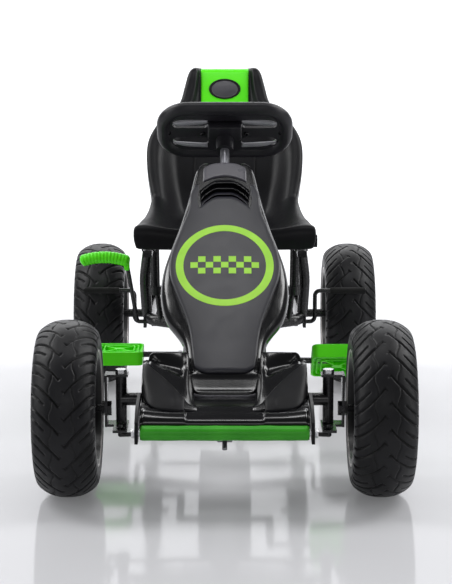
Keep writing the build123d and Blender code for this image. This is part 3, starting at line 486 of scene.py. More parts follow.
def groove_field(across, along, pitch):
    """How deep the tread is cut at each (across, along), 0 to 1."""
    field = np.zeros(np.broadcast(across, along).shape)
    for side in (1, -1):
        s = across * side
        t = along + (pitch / 2 if side < 0 else 0)
        for line, half_width, share in TREAD:
            for (x1, y1), (x2, y2) in zip(line[:-1], line[1:]):
                for wrap in (-2, -1, 0, 1, 2):
                    u = s - x1
                    v = (t % pitch) + wrap * pitch - y1
                    dx, dy = x2 - x1, y2 - y1
                    along_line = np.clip((u * dx + v * dy) / (dx * dx + dy * dy), 0, 1)
                    gap = np.hypot(u - along_line * dx, v - along_line * dy)
                    cut = np.clip((half_width + 0.55 - gap) / 1.1, 0, 1) * share
                    field = np.maximum(field, cut * cut * (3 - 2 * cut) if share == 1 else cut)
    return field


def make_tyre_mesh():
    """One tyre about the X axis, with its tread cut into the skin and ribs on its walls."""
    x, r, s = skin_line()
    angle = np.linspace(0, 2 * np.pi, TYRE_AROUND, endpoint=False)
    pitch = 2 * np.pi * TYRE_RADIUS / TREAD_PITCHES
    wall = np.abs(s)
    field = groove_field(s[None, :], (angle * TYRE_RADIUS)[:, None], pitch)
    field = field * np.clip((TREAD_EDGE - wall) / 6, 0, 1)[None, :]
    nx, nr = -np.gradient(r), np.gradient(x)
    size = np.hypot(nx, nr)
    nx, nr = nx / size, nr / size
    ribs = RING_HEIGHT * sum(np.exp(-((wall - at) / half) ** 2) for at, half in WALL_RINGS)[None, :]
    teeth = (np.cos(angle * 120)[:, None] > 0.3) * ((wall > 77.5) & (wall < 81.5))[None, :]
    offset = ribs + RING_HEIGHT / 2 * teeth - field * GROOVE_DEPTH
    px = x[None, :] + nx[None, :] * offset
    pr = r[None, :] + nr[None, :] * offset
    outer = np.stack([px, pr * np.cos(angle)[:, None], pr * np.sin(angle)[:, None]], axis=2)
    points = list(outer.reshape(-1, 3))
    start = len(points)
    depth = len(TYRE_INSIDE)
    for a in angle:
        points.extend((across * MM, up * MM * math.cos(a), up * MM * math.sin(a))
                      for across, up in TYRE_INSIDE)
    # each section is a closed loop: along the skin, then back along the inside
    loops = [[*range(i * SKIN_POINTS, (i + 1) * SKIN_POINTS),
              *range(start + i * depth, start + (i + 1) * depth)] for i in range(TYRE_AROUND)]
    faces = []
    for this, after in zip(loops, loops[1:] + loops[:1]):
        for k in range(len(this)):
            nxt = (k + 1) % len(this)
            faces.append((this[k], after[k], after[nxt], this[nxt]))
    mesh = bpy.data.meshes.new("tyre_tread")
    mesh.from_pydata([tuple(p) for p in points], [], faces)
    mesh.update()
    face_outward(mesh)
    values = np.zeros(len(points))
    values[:field.size] = field.reshape(-1)
    attribute = mesh.attributes.new("groove", "FLOAT", "POINT")
    attribute.data.foreach_set("value", values.astype(np.float32))
    return mesh


def add_tyres():
    """A tyre for each wheel, each turned to a different place so that the treads do not line up."""
    pattern = make_tyre_mesh()
    for place, body in WHEEL_BODIES.items():
        node = f"tyre_{place}"
        left = place.endswith("left")
        low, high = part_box(node)
        centre = (low + high) / 2
        mesh = pattern.copy()
        turn = Matrix.Rotation(0.37 * len(node) + (1.3 if left else 0), 4, "X")
        if not left:
            turn = turn @ Matrix.Rotation(math.pi, 4, "Z")
        mesh.transform(Matrix.Translation(centre) @ turn)
        finish_piece(f"tread_{place}", mesh, TYRE, body, "tyre_rubber", stands_for=(node,))


add_tyres()


# ---- seat ---------------------------------------------------------------------------------
# side view of the seat's middle, in mm: y, z, direction the surface faces (degrees from +Y towards +Z),
# bolster height, half width, depth behind, and where across the width the bolster starts and ends rising
SEAT_STATIONS = [
    (48, 316.5, 180, 0, 156, 7, 0.60, 0.86), (45.5, 334, 180, 0, 161, 7, 0.60, 0.86),
    (47, 351, 166, 0, 161.5, 8, 0.60, 0.86), (56, 360.5, 108, 0, 160, 14, 0.60, 0.86),
    (71, 355, 66, 7, 157, 26, 0.60, 0.86), (92, 346.5, 80, 19, 152, 27, 0.58, 0.86),
    (122, 344, 90, 25, 146, 27, 0.56, 0.86), (165, 344, 92, 34, 140, 27, 0.54, 0.86),
    (205, 346, 101, 47, 136, 28, 0.54, 0.86), (231, 358, 126, 49, 135, 32, 0.54, 0.86),
    (248, 382, 145, 45, 138, 40, 0.56, 0.86), (272, 425, 149, 37, 145, 44, 0.58, 0.86),
    (300, 471, 150, 30, 145.5, 46, 0.58, 0.86), (319, 505, 151, 24, 131, 46, 0.54, 0.84),
    (333, 531, 151, 18, 107, 44, 0.50, 0.82), (345, 552, 151, 14, 86, 42, 0.56, 0.78),
    (362, 582, 150, 12, 77, 36, 0.63, 0.74), (375, 603, 148, 12, 71, 30, 0.66, 0.77),
    (383, 612.5, 130, 9, 66, 24, 0.70, 0.82), (395, 615, 92, 3, 58, 12, 0.72, 0.86)]
# across the front: share of the half width between the bolster's start and the edge, and share of its height
SEAT_ROLL = [(0.10, 0.02), (0.32, 0.16), (0.55, 0.48), (0.78, 0.84), (1.0, 1.0)]


def seat_station(t):
    """The seat's side view at t, which counts along SEAT_STATIONS."""
    last = len(SEAT_STATIONS) - 1
    i = min(int(t), last - 1)
    picks = [SEAT_STATIONS[k] for k in (max(i - 1, 0), i, i + 1, min(i + 2, last))]
    return [spline(*column, t - i) for column in zip(*picks)]


def seat_point(t, x, lift):
    """A point of the seat at station t, x mm from the middle, lift mm off the middle's surface."""
    y, z, facing = seat_station(t)[:3]
    return Vector((x * MM, (y + lift * math.cos(math.radians(facing))) * MM,
                   (z + lift * math.sin(math.radians(facing))) * MM))


def dish(t, share):
    """How far the pan's front edge drops, in mm, at a share of its half width: most in the middle."""
    return 9.0 * (1 - ramp(share, 0.42, 0.92)) * ramp(4 - abs(t - 3), 0, 4)


def seat_section(t):
    """One closed loop round the seat at station t: across the front, round the edge and back behind."""
    _, _, _, rise, half, deep, start, top = seat_station(t)
    rise = max(rise, 0.0)
    front = [(0.0, 0.0), (start * 0.35, 0.0), (start * 0.7, 0.0), (start, 0.3)]
    front = [(q * half, lift) for q, lift in front]
    front += [((start + (top - start) * a) * half, rise * b) for a, b in SEAT_ROLL]
    roll = min(9.0, 0.5 * (rise + deep))
    front += [((top + (1.0 - top) * 0.45) * half, rise), (half - roll * 0.45, rise - roll * 0.12),
              (half - roll * 0.1, rise - roll * 0.5), (half, rise - roll)]
    skirt = [(half, (rise - deep) * 0.45), (half - 1, -deep * 0.8), (half - 2.5, -deep)]
    wall = 4.0 if deep > 10 else 3.0
    hollow = -min(6, deep * 0.5)
    inner = [(half - 2.5 - wall, -deep), (half - wall - 2.5, -deep * 0.6),
             (half - wall - 6, -min(9, deep * 0.5)), (top * half * 0.8, rise * 0.3 - min(7, deep * 0.5)),
             (start * half, hollow), (start * half * 0.5, hollow)]
    right = front + skirt + inner
    loop = [seat_point(t, x, lift) for x, lift in right + [(0.0, hollow)]]
    loop += [seat_point(t, -x, lift) for x, lift in reversed(right[1:])]
    for point in loop:
        point.z -= dish(t, abs(point.x) / (half * MM)) * MM
    return loop


def add_seat():
    """The one-piece moulded seat."""
    stations = np.linspace(0, len(SEAT_STATIONS) - 1, 74)
    rows = [seat_section(t) for t in stations]
    add_loft("seat_moulding", rows, MATTE_BLACK, "seat", "matte_black", subdivide=1,
             stands_for=("seat_shell",))


def seat_patch(name, t_low, t_high, outline, lift, base, material, slot, stands_for=()):
    """A panel that follows the seat between two stations; outline(share along) gives its half width."""
    ups = [0, 0.012, 0.04] + list(np.linspace(0.09, 0.91, 14)) + [0.96, 0.988, 1]
    across = [-1, -0.985, -0.95] + list(np.linspace(-0.85, 0.85, 13)) + [0.95, 0.985, 1]

    def pair(q, v):
        t = t_low + (t_high - t_low) * v
        x = q * outline(v)
        share = rounding(min(1.0, min(v, 1 - v) / 0.04, (1 - abs(q)) / 0.05))
        return seat_point(t, x, base + lift * share), seat_point(t, x, base - 2.5)

    points, faces = panel(across, ups, pair)
    add_object(name, points, faces, material, "seat", slot, stands_for=stands_for)


def round_ends(half, corner, length):
    """Half width along a panel whose ends have round corners."""
    def outline(v):
        near = min(v, 1 - v) * length
        if near >= corner:
            return half
        return half - corner + math.sqrt(max(0.0, corner ** 2 - (corner - near) ** 2))
    return outline


def station_at(height):
    """The station whose centre line is at a height up the back."""
    low, high = 13.0, 18.0
    for _ in range(30):
        middle = (low + high) / 2
        low, high = (middle, high) if seat_station(middle)[1] < height else (low, middle)
    return low


def add_seat_panels():
    """The green headrest, the raised panel on the back and the headrest's oval badge."""
    seat_patch("headrest_green", 14.6, 18.75, lambda v: 46.5 - 1.5 * (1 - v), 2.6, 0.2, LIME,
               "lime_plastic", stands_for=("headrest_panel",))
    seat_patch("back_raised_panel", 10.25, 12.15, round_ends(58, 9, 90), 3.0, 0.0, MATTE_BLACK, "matte_black")
    # the badge's rings from its edge inwards: size, height above the seat, and which material fills it
    rings = [(1.00, 1.5, 0), (1.04, 3.4, 0), (1.01, 4.4, 0), (0.90, 4.4, 0), (0.86, 3.2, 1), (0.80, 3.6, 1),
             (0.5, 4.8, 1), (0.2, 5.1, 1)]
    count = 72
    height = seat_station(15.79)[1] + 3.0
    points = [seat_point(station_at(height + up * 0.87), across, lift)
              for size, lift, _ in rings for across, up in oval(29 * size, 20.5 * size, count)]
    tones = [tone for _, _, tone in rings[:-1] for _ in range(count)] + [0, 1]
    badge = add_object("headrest_oval", points, stack_faces(count, len(rings)), [RUBBER, STONE], "seat",
                       "matte_black", stands_for=("headrest_badge",))
    for face, tone in zip(badge.data.polygons, tones):
        face.material_index = tone


add_seat()
add_seat_panels()


# ---- nose ---------------------------------------------------------------------------------
NOSE_ORIGIN = Vector((0, -45 * MM, 484 * MM))
NOSE_SLOPE = math.radians(40)
NOSE_DOWN = Vector((0, -math.cos(NOSE_SLOPE), -math.sin(NOSE_SLOPE)))
NOSE_OUT = Vector((0, -math.sin(NOSE_SLOPE), math.cos(NOSE_SLOPE)))
NOSE_LENGTH = 497.0
# (distance down the slope, half width) of the cowl, and of the satin panel on it
COWL_HALF = [(0, 29), (3, 37), (8, 43), (16, 47.5), (28, 51), (60, 56.5), (100, 64), (150, 75.5), (188, 86),
             (235, 98.5), (278, 103.5), (310, 100.5), (341, 91), (366, 76), (384, 67), (400, 63), (435, 59.5),
             (472, 57.5), (484, 55), (491, 50), (495, 43), (497, 33)]
PANEL_HALF = [(48, 49.5), (84, 55.5), (106, 60.5), (150, 71), (188, 82), (212, 88), (236, 91), (262, 88.5),
              (286, 81.5), (306, 75), (336, 65), (365, 57.5), (395, 53), (428, 50), (445, 47.5), (457, 44)]
PANEL_END = 458.0
PANEL_TOP = 84         # distance down the slope to the panel's top edge in the middle
PANEL_TOP_HALF = 59    # half width of the panel up there
ARCH_FLAT = 11         # half width of the flat middle of the arched lines
# a louvre's section: distance from its line, height at its ends, and how much lower than its crest it stays
LOUVRE_SECTION = [(-4, 0.3, 2.2), (-1.4, 0.4, 0.4), (0, 0.3, 0.2), (0.4, 0.2, 1.5), (-2.5, 0.1, 2.8)]


def nose_point(x, down, lift):
    """A point of the nose in mm: across, down its slope and out from it."""
    return NOSE_ORIGIN + Vector((x * MM, 0, 0)) + NOSE_DOWN * (down * MM) + NOSE_OUT * (lift * MM)


def cowl_section(down):
    """One closed loop round the cowl at a distance down the slope."""
    half = table_value(COWL_HALF, down)
    flat = min(table_value(PANEL_HALF, down) - 3 if down > 100 else half * 0.86, half - 5)
    if down > PANEL_END - 4:
        flat = half * 0.84
    depth = 59.0 - (down / NOSE_LENGTH) * 45.5
    fall = min(6 + 0.62 * (half - flat), depth * 0.75)
    dip = -1.2 * min(1, max(0, (down - PANEL_END) / 6)) * min(1, max(0, (NOSE_LENGTH - 6 - down) / 5))
    solid_end = down < 5 or down > NOSE_LENGTH - 6
    round_top = -6 * max(0.0, 1 - down / 8) ** 2 - 3.0 * max(0.0, 1 - (NOSE_LENGTH - down) / 4) ** 2
    right = [(0, dip), (flat * 0.3, dip), (flat * 0.6, dip), (flat * 0.85, dip * 0.9), (flat, dip * 0.4)]
    right = [(x, lift + round_top) for x, lift in right]
    for step in range(1, 9):
        a = math.pi / 2 * step / 8
        right.append((flat + (half - flat) * math.sin(a), round_top - fall * (1 - math.cos(a))))
    right += [(half, -(fall + depth) / 2), (half - 0.6, -depth + 1), (half - 1.4, -depth)]
    inner = -depth + 0.05 if solid_end else -min(fall + 4, depth - 2)
    under = inner if solid_end else -6.5
    right += [(half - 4, -depth), (half - 4.5, inner), (flat * 0.7, under)]
    loop = [nose_point(x, down, lift) for x, lift in right + [(0, under)]]
    loop += [nose_point(-x, down, lift) for x, lift in reversed(right[1:])]
    return loop


def panel_height(q):
    """Height of the satin panel above the slope at a share across."""
    return 2.6 + 3.0 * (1 - q * q)


def face_spot(q, v, lift):
    """A point of the satin panel, whose top edge is arched and has a tongue up each side."""
    reach = abs(q) * PANEL_TOP_HALF
    share = max(0.0, min(reach, 42) - ARCH_FLAT) / (42 - ARCH_FLAT)
    top = PANEL_TOP + 25 * share ** 1.6 - 54 * ramp(reach, 43, 49)
    end = PANEL_END - 1 - 13 * abs(q) ** 7
    down = top + (end - top) * v
    half = table_value(PANEL_HALF, down)
    if down > PANEL_TOP:
        half = PANEL_TOP_HALF + (half - PANEL_TOP_HALF) * min(1.0, (down - PANEL_TOP) / 60)
    elif down > 60:
        half += (PANEL_TOP_HALF - half) * (down - 60) / 24
    return nose_point(q * half, down, lift)


def insert_spot(q, v, lift):
    """A point of the smooth insert at the top of the nose."""
    start = 4.5 + 13 * abs(q) ** 3.2
    end = 37 + 13 * abs(q) ** 1.8
    down = start + (end - start) * v
    return nose_point(q * (33.5 + 3.5 * min(1, down / 26)), down, lift - 6 * max(0.0, 1 - down / 8) ** 2)


def arch(x, centre, sag, reach):
    """Distance down the slope of an arched line: flat in the middle and falling to the sides."""
    share = max(0.0, abs(x) - ARCH_FLAT) / (reach - ARCH_FLAT)
    return centre + sag * share ** 1.6


def louvre_row(x, down, high, fade):
    """A louvre's section at one place across; fade is 1 at full height and 0 at its ends."""
    row = [nose_point(x, down + step, foot + (high - less) * fade) for step, foot, less in LOUVRE_SECTION]
    return [nose_point(x, down - 12, 0.2), *row, nose_point(x, down - 5, -0.6)]


def add_nose():
    """The cowl, the panels on it, the louvres and the lip round its tip, whose light grey is a painted
    highlight.
    """
    downs = [0, 1.2, 3, 5, 5.5, 8, 11, 15] + list(np.linspace(20, 445, 66))
    downs += [449, 452, 455, 457, 459, 461, 464, 468, 474, 480, 484, 487, 489.5, 491, 492.5, 494, 495.3,
              496.3, NOSE_LENGTH]
    add_loft("nose_shell", [cowl_section(down) for down in downs], GLOSS_BLACK, "chassis", "gloss_black",
             stands_for=("nose_cowl",))
    add_patch("nose_satin_panel", face_spot, lambda q, v: panel_height(q), -1.0, SATIN_GREY, "chassis",
              "satin_grey", rim=(0.035, 0.012), columns=31, rows=70, stands_for=("nose_face",))
    add_patch("nose_smooth_insert", insert_spot, lambda q, v: 2.2 + 1.2 * (1 - q * q), -0.5, PLUM_GREY,
              "chassis", "satin_grey", rim=(0.07, 0.08), stands_for=("nose_insert",))
    for step, (centre, reach, high) in enumerate(((56, 42, 6.0), (69.5, 41, 6.0), (82, 40, 5.4))):
        rows = [louvre_row(x, arch(x, centre, 25, reach), high, min(1.0, (reach - abs(x)) / 7) ** 0.6)
                for x in np.linspace(-reach, reach, 41)]
        add_loft(f"nose_louvre_{step + 1}", rows, GLOSS_BLACK if step < 2 else SATIN_GREY, "chassis",
                 "gloss_black", stands_for=("nose_vents",) if step == 0 else ())
    path = [nose_point(table_value(COWL_HALF, down) + 0.6, down, -4.0) for down in np.linspace(392, 472, 18)]
    path += [nose_point(table_value(COWL_HALF, down) + 0.6, down + 0.6, -4.0)
             for down in (477, 482, 486, 489.5, 492.5, 494.8, 496.2)]
    path += [nose_point(x, 497.5, -4.0) for x in (26, 18, 9, 0)]
    path += [Vector((-p.x, p.y, p.z)) for p in reversed(path[:-1])]
    radii = [(0.6 + 1.9 * min(1, i / 8, (len(path) - 1 - i) / 8)) * MM for i in range(len(path))]
    # the lip is gloss black; the light grey insert material here is a painted highlight along it
    add_tube("nose_tip_lip", path, radii, PLUM_GREY, "chassis", "gloss_black", sides=14,
             stands_for=("nose_lip",))


def on_panel(x, down, lift):
    """A point just above the satin panel."""
    half = table_value(PANEL_HALF, down)
    return nose_point(x, down, panel_height(x / half) + lift)


def add_emblem():
    """A plain ring and a chequered band: general racing decoration."""
    centre, outer, inner, tall = 238.0, 79.5, 67.0, 1.09
    between = (outer + inner) / 2
    count = 144
    ring = []
    for a in full_turn(count):
        for radius, lift in ((outer, 0.05), (outer - 0.3, 0.35), (between, 0.35), (inner + 0.3, 0.35),
                             (inner, 0.05), (between, 0.02)):
            ring.append(on_panel(radius * math.cos(a), centre + tall * radius * math.sin(a), lift))
    solids = [(ring, ring_faces(count, 6))]
    tile = 12.4
    square = [(-0.5, -0.5), (0.5, -0.5), (0.5, 0.5), (-0.5, 0.5)]
    for row in range(3):
        for column in range(-5, 6):
            across, along = column * tile, (row - 1) * tile
            inside = math.hypot(abs(across) + tile / 2, abs(along) + tile / 2) <= inner - 2
            if (row + column) % 2 and inside:
                spots = [on_panel(across + a * (tile - 0.4), centre + along + b * (tile - 0.4), lift)
                         for lift in (0.02, 0.35) for a, b in square]
                solids.append((spots, stack_faces(4, 2)))
    join("nose_ring_and_chequer", solids, DECAL, "chassis", "decal", smooth=False, stands_for=("nose_decal",))


add_nose()
add_emblem()


# ---- bumper and front fairing -------------------------------------------------------------
def shelf_section(x):
    """Side view of the skirt's shelf at one place across the kart."""
    reach = abs(x)
    lift = 4.0 * (max(0.0, reach - 66) / 61) ** 2
    pad = 3.0 * ramp(reach, 57, 61) * (1 - ramp(reach, 121.5, 125))
    outline = [(-431, 149), (-431, 159.5), (-434, 162.5), (-452, 162.0), (-472, 157.6 + lift),
               (-484, 154.6 + lift), (-486.5, 153.4 + lift + pad * 0.1), (-489, 152.8 + lift + pad),
               (-500, 149.4 + lift * 0.7 + pad), (-508, 146.0 + lift * 0.3 + pad),
               (-511.5, 143.4 + pad * 0.8), (-513.5, 140.5), (-513.5, 136), (-511, 132), (-506, 131),
               (-499, 140), (-470, 150), (-440, 153)]
    return [Vector((x * MM, y * MM, z * MM)) for y, z in outline]


# the horn's crest and foot at distances from the middle: x, crest y, crest z, foot y, foot z
HORN_LINES = [(42, -482, 157, -486, 154), (56, -474, 163, -487, 155), (64, -464, 171, -490, 154),
              (75, -447, 180, -492, 154), (87, -430, 188, -492, 154.5), (100, -414, 195.5, -489, 155),
              (112, -401, 202.5, -481, 158), (120, -393, 206.5, -469, 162.5), (126.5, -388, 205.5, -445, 173)]


def horn_lines(x):
    """The crest and the foot of a horn, each as (y, z), at one distance from the middle."""
    crest_y, crest_z, foot_y, foot_z = (column_value(HORN_LINES, k, x) for k in range(1, 5))
    return (crest_y, crest_z), (foot_y, foot_z)


def horn_front(x, share):
    """A point (y, z) of a horn's bulging front at a share of the way up from its foot to its crest."""
    crest, foot = horn_lines(x)
    bulge = 4.0 * ramp(x, 60, 80) * math.sin(math.pi * share)
    return (foot[0] + (crest[0] - foot[0]) * share - bulge * 0.6,
            foot[1] + (crest[1] - foot[1]) * share + bulge * 0.8)


def horn_section(x):
    """Side view of a horn at one distance from the middle: back, top rail, channel, crest and front."""
    crest, foot = horn_lines(x)
    drop = min(1.0, max(0.0, (x - 109.5) / 9))
    rail = 220.5 - 13.5 * (1 - math.sqrt(1 - drop * drop)) - 54 * (1 - ramp(x, 42, 59))
    rail = max(rail, crest[1])
    sink = 9.0 * ramp(x, 60, 66) * (1 - ramp(x, 102, 110))
    back_y = -368 - 3 * ramp(x, 116, 127)
    slope_high = max(rail - 6, crest[1])

    def along(share, rise=0.0):
        return back_y + (crest[0] - back_y) * share, slope_high + (crest[1] - slope_high) * share + rise

    front = [horn_front(x, share) for share in (0.75, 0.5, 0.25)]
    return [(back_y, 168), (back_y, rail - 4), (back_y - 1.5, rail - 1), (back_y - 5, rail),
            (back_y - 9, rail - 1), along(0.22, 2 - sink * 0.6), along(0.32, -sink),
            along(0.46, -sink * 0.35), along(0.62), along(0.82), (crest[0] + 1.2, crest[1] + 0.3), crest,
            *front, foot, (foot[0] + 4, foot[1] - 4), (-440, 158), (-400, 164)]


def add_horn(side, hand):
    """One horn of the fairing, with the matte fin on its front."""
    stations = [42, 45, 48, 51, 54, 57, 60, 63, 66, 70, 74] + list(np.linspace(78, 110, 13))
    stations += [112, 114, 115.6, 117, 118, 118.7, 120.5, 122.5, 124.2, 125.5, 126.4, 127]
    rows = [[Vector((side * x * MM, y * MM, z * MM)) for y, z in horn_section(x)] for x in stations]
    add_loft(f"fairing_horn_{hand}", rows, GLOSS_BLACK, "chassis", "gloss_black")

    def fin_spot(q, v, lift):
        x = 61 + (125.8 - 61) * (q + 1) / 2
        y, z = horn_front(x, 0.98 - 0.96 * v)
        return Vector((side * (x + 0.15 * lift) * MM, (y - 0.75 * lift) * MM, (z + 0.64 * lift) * MM))

    add_patch(f"fairing_fin_{hand}", fin_spot, lambda q, v: 1.5, -0.4, MATTE_BLACK, "chassis", "matte_black",
              rim=(0.03, 0.05), stands_for=("fairing_fins",) if side > 0 else ())


def add_fairing():
    """The shelf across the front and the two horns on it."""
    left = {-127.5, -126.6, -125, -123.5, -122, -120, -61, -60, -59, -58, -57}
    left = sorted(left | set(np.linspace(-118, -64, 16)))
    xs = left + list(np.linspace(-52, 52, 9)) + [-x for x in reversed(left)]
    add_loft("fairing_shelf", [shelf_section(x) for x in xs], GLOSS_BLACK, "chassis", "gloss_black",
             stands_for=("front_fairing",))
    add_horn(1, "left")
    add_horn(-1, "right")


def add_bumper_sleeve():
    """The foam roller: slightly uneven, with ends drawn in."""
    low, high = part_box("bumper_roller")
    centre = (low + high) / 2
    radius = (high.z - low.z) / 2
    path, radii = [], []
    steps = 80
    for i in range(steps + 1):
        share = i / steps
        edge = min(share, 1 - share) * steps
        end = 1.0 - 0.10 * max(0.0, 1 - edge / 1.5) ** 2
        wave = 0.30 * math.sin(share * 19.0) + 0.22 * math.sin(share * 43.0 + 1.0)
        path.append(Vector((low.x + (high.x - low.x) * share, centre.y,
                            centre.z + 0.12 * MM * math.sin(share * 27))))
        radii.append(radius * end - 0.35 * MM + wave * 0.5 * MM)
    sleeve = add_tube("bumper_foam_sleeve", path, radii, FOAM, "chassis", "green_foam", sides=40,
                      stands_for=("bumper_roller",))


add_fairing()
add_bumper_sleeve()


# ---- moulded and machined edges -----------------------------------------------------------
def soften(name, node, material, body, slot, width, segments=2, extra=()):
    """A copy of a CAD node with its sharp edges rounded by a real bevel."""
    mesh = nodes[node].data.copy()
    work = bmesh.new()
    work.from_mesh(mesh)
    bmesh.ops.remove_doubles(work, verts=work.verts, dist=0.00002)
    bmesh.ops.dissolve_limit(work, angle_limit=math.radians(1.5), verts=work.verts, edges=work.edges)
    work.to_mesh(mesh)
    work.free()
    mesh.name = name
    piece = finish_piece(name, mesh, material, body, slot, bevel=width, stands_for=(node, *extra))
    piece.modifiers["bevel"].segments = segments
    piece.modifiers["bevel"].use_clamp_overlap = True
    shade = piece.modifiers.new("shade", "WEIGHTED_NORMAL")
    shade.keep_sharp = False
    shade.weight = 80
    return piece


soften("steering_spoke_plate", "wheel_back_cover", WHEEL_BLACK, "steering", "matte_black", 1.6 * MM, 3)
soften("steering_hub_pad", "wheel_hub_cap", WHEEL_BLACK, "steering", "matte_black", 1.2 * MM)
soften("tunnel_cover", "centre_cover", GLOSS_BLACK, "chassis", "gloss_black", 2.5 * MM, 3)
soften("tunnel_stripes", "cover_stripes", LIME, "chassis", "lime_plastic", 0.8 * MM)
soften("drive_case", "chain_case", GLOSS_BLACK, "chassis", "gloss_black", 2.2 * MM, 3)
for hand in ("left", "right"):
    body = f"knuckle_{hand}"
    soften(f"stub_knuckle_{hand}", body, BLACK_STEEL, body, "painted_steel", 0.7 * MM)
    soften(f"king_bolt_head_{hand}", f"king_bolt_{hand}", BRIGHT_STEEL, body, "bright_steel", 0.6 * MM)
soften("bumper_end_plates", "bumper_brackets", MATTE_BLACK, "chassis", "painted_steel", 0.8 * MM)
soften("seat_clamp_knob", "seat_knob", MATTE_BLACK, "seat", "matte_black", 0.8 * MM)


# ---- steering wheel -----------------------------------------------------------------------
WHEEL_ORIGIN = Vector((0, 40 * MM, 530 * MM))
COLUMN_RISE = math.radians(46)
WHEEL_NORMAL = Vector((0, math.cos(COLUMN_RISE), math.sin(COLUMN_RISE)))
WHEEL_DOWN = Vector((0, math.sin(COLUMN_RISE), -math.cos(COLUMN_RISE)))
# the light ledge in each slot: (distance from the middle, inner edge, outer edge), in the wheel's plane
SLOT_UPPER = [(30, 24, 34), (60, 21, 33.5), (80, 19, 31), (90, 23, 26)]
SLOT_LOWER = [(30, 30, 40), (55, 28, 38.5), (75, 26, 35), (90, 24.5, 27)]


def wheel_point(x, y, z):
    """A point in the steering wheel's plane, in mm: y points down its face and z at the rider."""
    return WHEEL_ORIGIN + Vector((x * MM, 0, 0)) + WHEEL_DOWN * (y * MM) + WHEEL_NORMAL * (z * MM)


def add_padded_rim():
    """The padded rim, with a flattened section that has a seam on each side."""
    path = rounded_box(212, 116, 44, 14)
    rows = []
    for i, (x, y) in enumerate(path):
        (ax, ay), (bx, by) = path[i - 1], path[(i + 1) % len(path)]
        along = Vector((bx - ax, by - ay)).normalized()
        out = Vector((along.y, -along.x))
        row = []
        for a in full_turn(28):
            seam = 0.5 * math.exp(-((abs(a - math.pi) - math.pi / 2) / 0.09) ** 2)
            radius = 11.8 * (1 + 0.05 * math.cos(2 * a)) - seam
            row.append(wheel_point(x + out.x * radius * math.cos(a), y + out.y * radius * math.cos(a),
                                   radius * math.sin(a)))
        rows.append(row)
    rows.append(rows[0])
    padding = add_loft("steering_padded_rim", rows, WHEEL_BLACK, "steering", "matte_black", capped=False,
                       stands_for=("steering_rim",))


def add_slot_lips():
    """The light ledge inside each of the wheel's four slots."""
    for side, hand in ((-1, "right"), (1, "left")):
        for tag, profile in (("upper", SLOT_UPPER), ("lower", SLOT_LOWER)):
            rows = []
            for x in np.linspace(30, 90, 25):
                near, far = column_value(profile, 1, x), column_value(profile, 2, x)
                if tag == "upper":
                    near, far = -far, -near
                rows.append([wheel_point(side * x, near, -7.8), wheel_point(side * x, far, -6.5),
                             wheel_point(side * x, far, -1.6), wheel_point(side * x, near, -4.4)])
            add_loft(f"wheel_slot_lip_{tag}_{hand}", rows, SLOT_GREY, "steering", "satin_grey")


def add_wheel_centre():
    """The hub box behind the pad, the screws and the sleeve round the neck."""
    rows = [[wheel_point(x * size, y * size - 15, z) for x, y in rounded_box(58.6, 34, 5)]
            for size, z in ((1.0, -5.0), (1.0, -20.2), (0.985, -21.4), (0.95, -22.0), (0.88, -22.0))]
    add_loft("steering_hub_box", rows, WHEEL_BLACK, "steering", "matte_black")
    head = [(4.2, -6.0), (4.2, -8.0), (3.4, -8.6), (2.0, -8.6), (1.6, -7.6), (0.2, -7.6)]
    screws = []
    for x, y in ((-98, 0), (98, 0), (-38, 2), (38, 2), (-84, -48), (84, -48)):
        points = [wheel_point(x + a, y + b, z) for r, z in head for a, b in oval(r, r, 14)]
        screws.append((points, stack_faces(14, len(head))))
    join("steering_screws", screws, GLOSS_BLACK, "steering", "gloss_black", smooth=False)
    rows = []
    for z in np.linspace(-20, -45, 26):
        radius = 15.3 - 0.5 * (z + 20) / -25 - (0.9 if -44 < z < -40 else 0)
        rows.append(circle_row(wheel_point(0, 0, z), radius * MM, Vector((1, 0, 0)), WHEEL_DOWN, 40))
    add_loft("steering_neck_sleeve", rows, WHEEL_BLACK, "steering", "matte_black")


add_padded_rim()
add_slot_lips()
add_wheel_centre()


# ---- pedals, grip, chain, spring, wheel trim -----------------------------------------------
PEDAL_BORE = 5.4 * MM
COLUMN_BORE = 9.5 * MM
CHAIN_PITCH = 12.7     # mm from one pin to the next


def frame_ring(outer, inner, low, high, place):
    """A rounded rectangular wall between two outlines and two heights: points and faces."""
    count = len(outer)
    points = [place(x, y, z) for outline in (outer, inner) for z in (low, high) for x, y in outline]
    faces = []
    for i in range(count):
        j = (i + 1) % count
        faces += [(i, j, count + j, count + i), (2 * count + j, 2 * count + i, 3 * count + i, 3 * count + j),
                  (count + i, count + j, 3 * count + j, 3 * count + i), (j, i, 2 * count + i, 2 * count + j)]
    return points, faces


def block(low, high, place, turn=0.0):
    """A bar between two corners, turned about its own height axis: points and faces."""
    c, s = math.cos(turn), math.sin(turn)
    outline = [(x * c - y * s, x * s + y * c) for x, y in
               ((low[0], low[1]), (high[0], low[1]), (high[0], high[1]), (low[0], high[1]))]
    return prism(outline, low[2], high[2], place)


def bore(piece, start, end, radius):
    """Cuts a round hole through a finished piece, from start to end."""
    axis = (Vector(end) - Vector(start)).normalized()
    across = axis.orthogonal().normalized()
    up = axis.cross(across)
    count = 40
    points = [p for spot in (start, end) for p in circle_row(spot, radius, across, up, count)]
    mesh = bpy.data.meshes.new("cutter")
    mesh.from_pydata([tuple(p) for p in points], [], stack_faces(count, 2))
    cutter = bpy.data.objects.new("cutter", mesh)
    bpy.context.scene.collection.objects.link(cutter)
    cut = piece.modifiers.new("bore", "BOOLEAN")
    cut.operation = "DIFFERENCE"
    cut.solver = "EXACT"
    cut.use_self = True
    cut.object = cutter
    bpy.context.view_layer.update()
    result = bpy.data.meshes.new_from_object(piece.evaluated_get(bpy.context.evaluated_depsgraph_get()))
    piece.modifiers.clear()
    piece.data = result
    bpy.data.objects.remove(cutter)


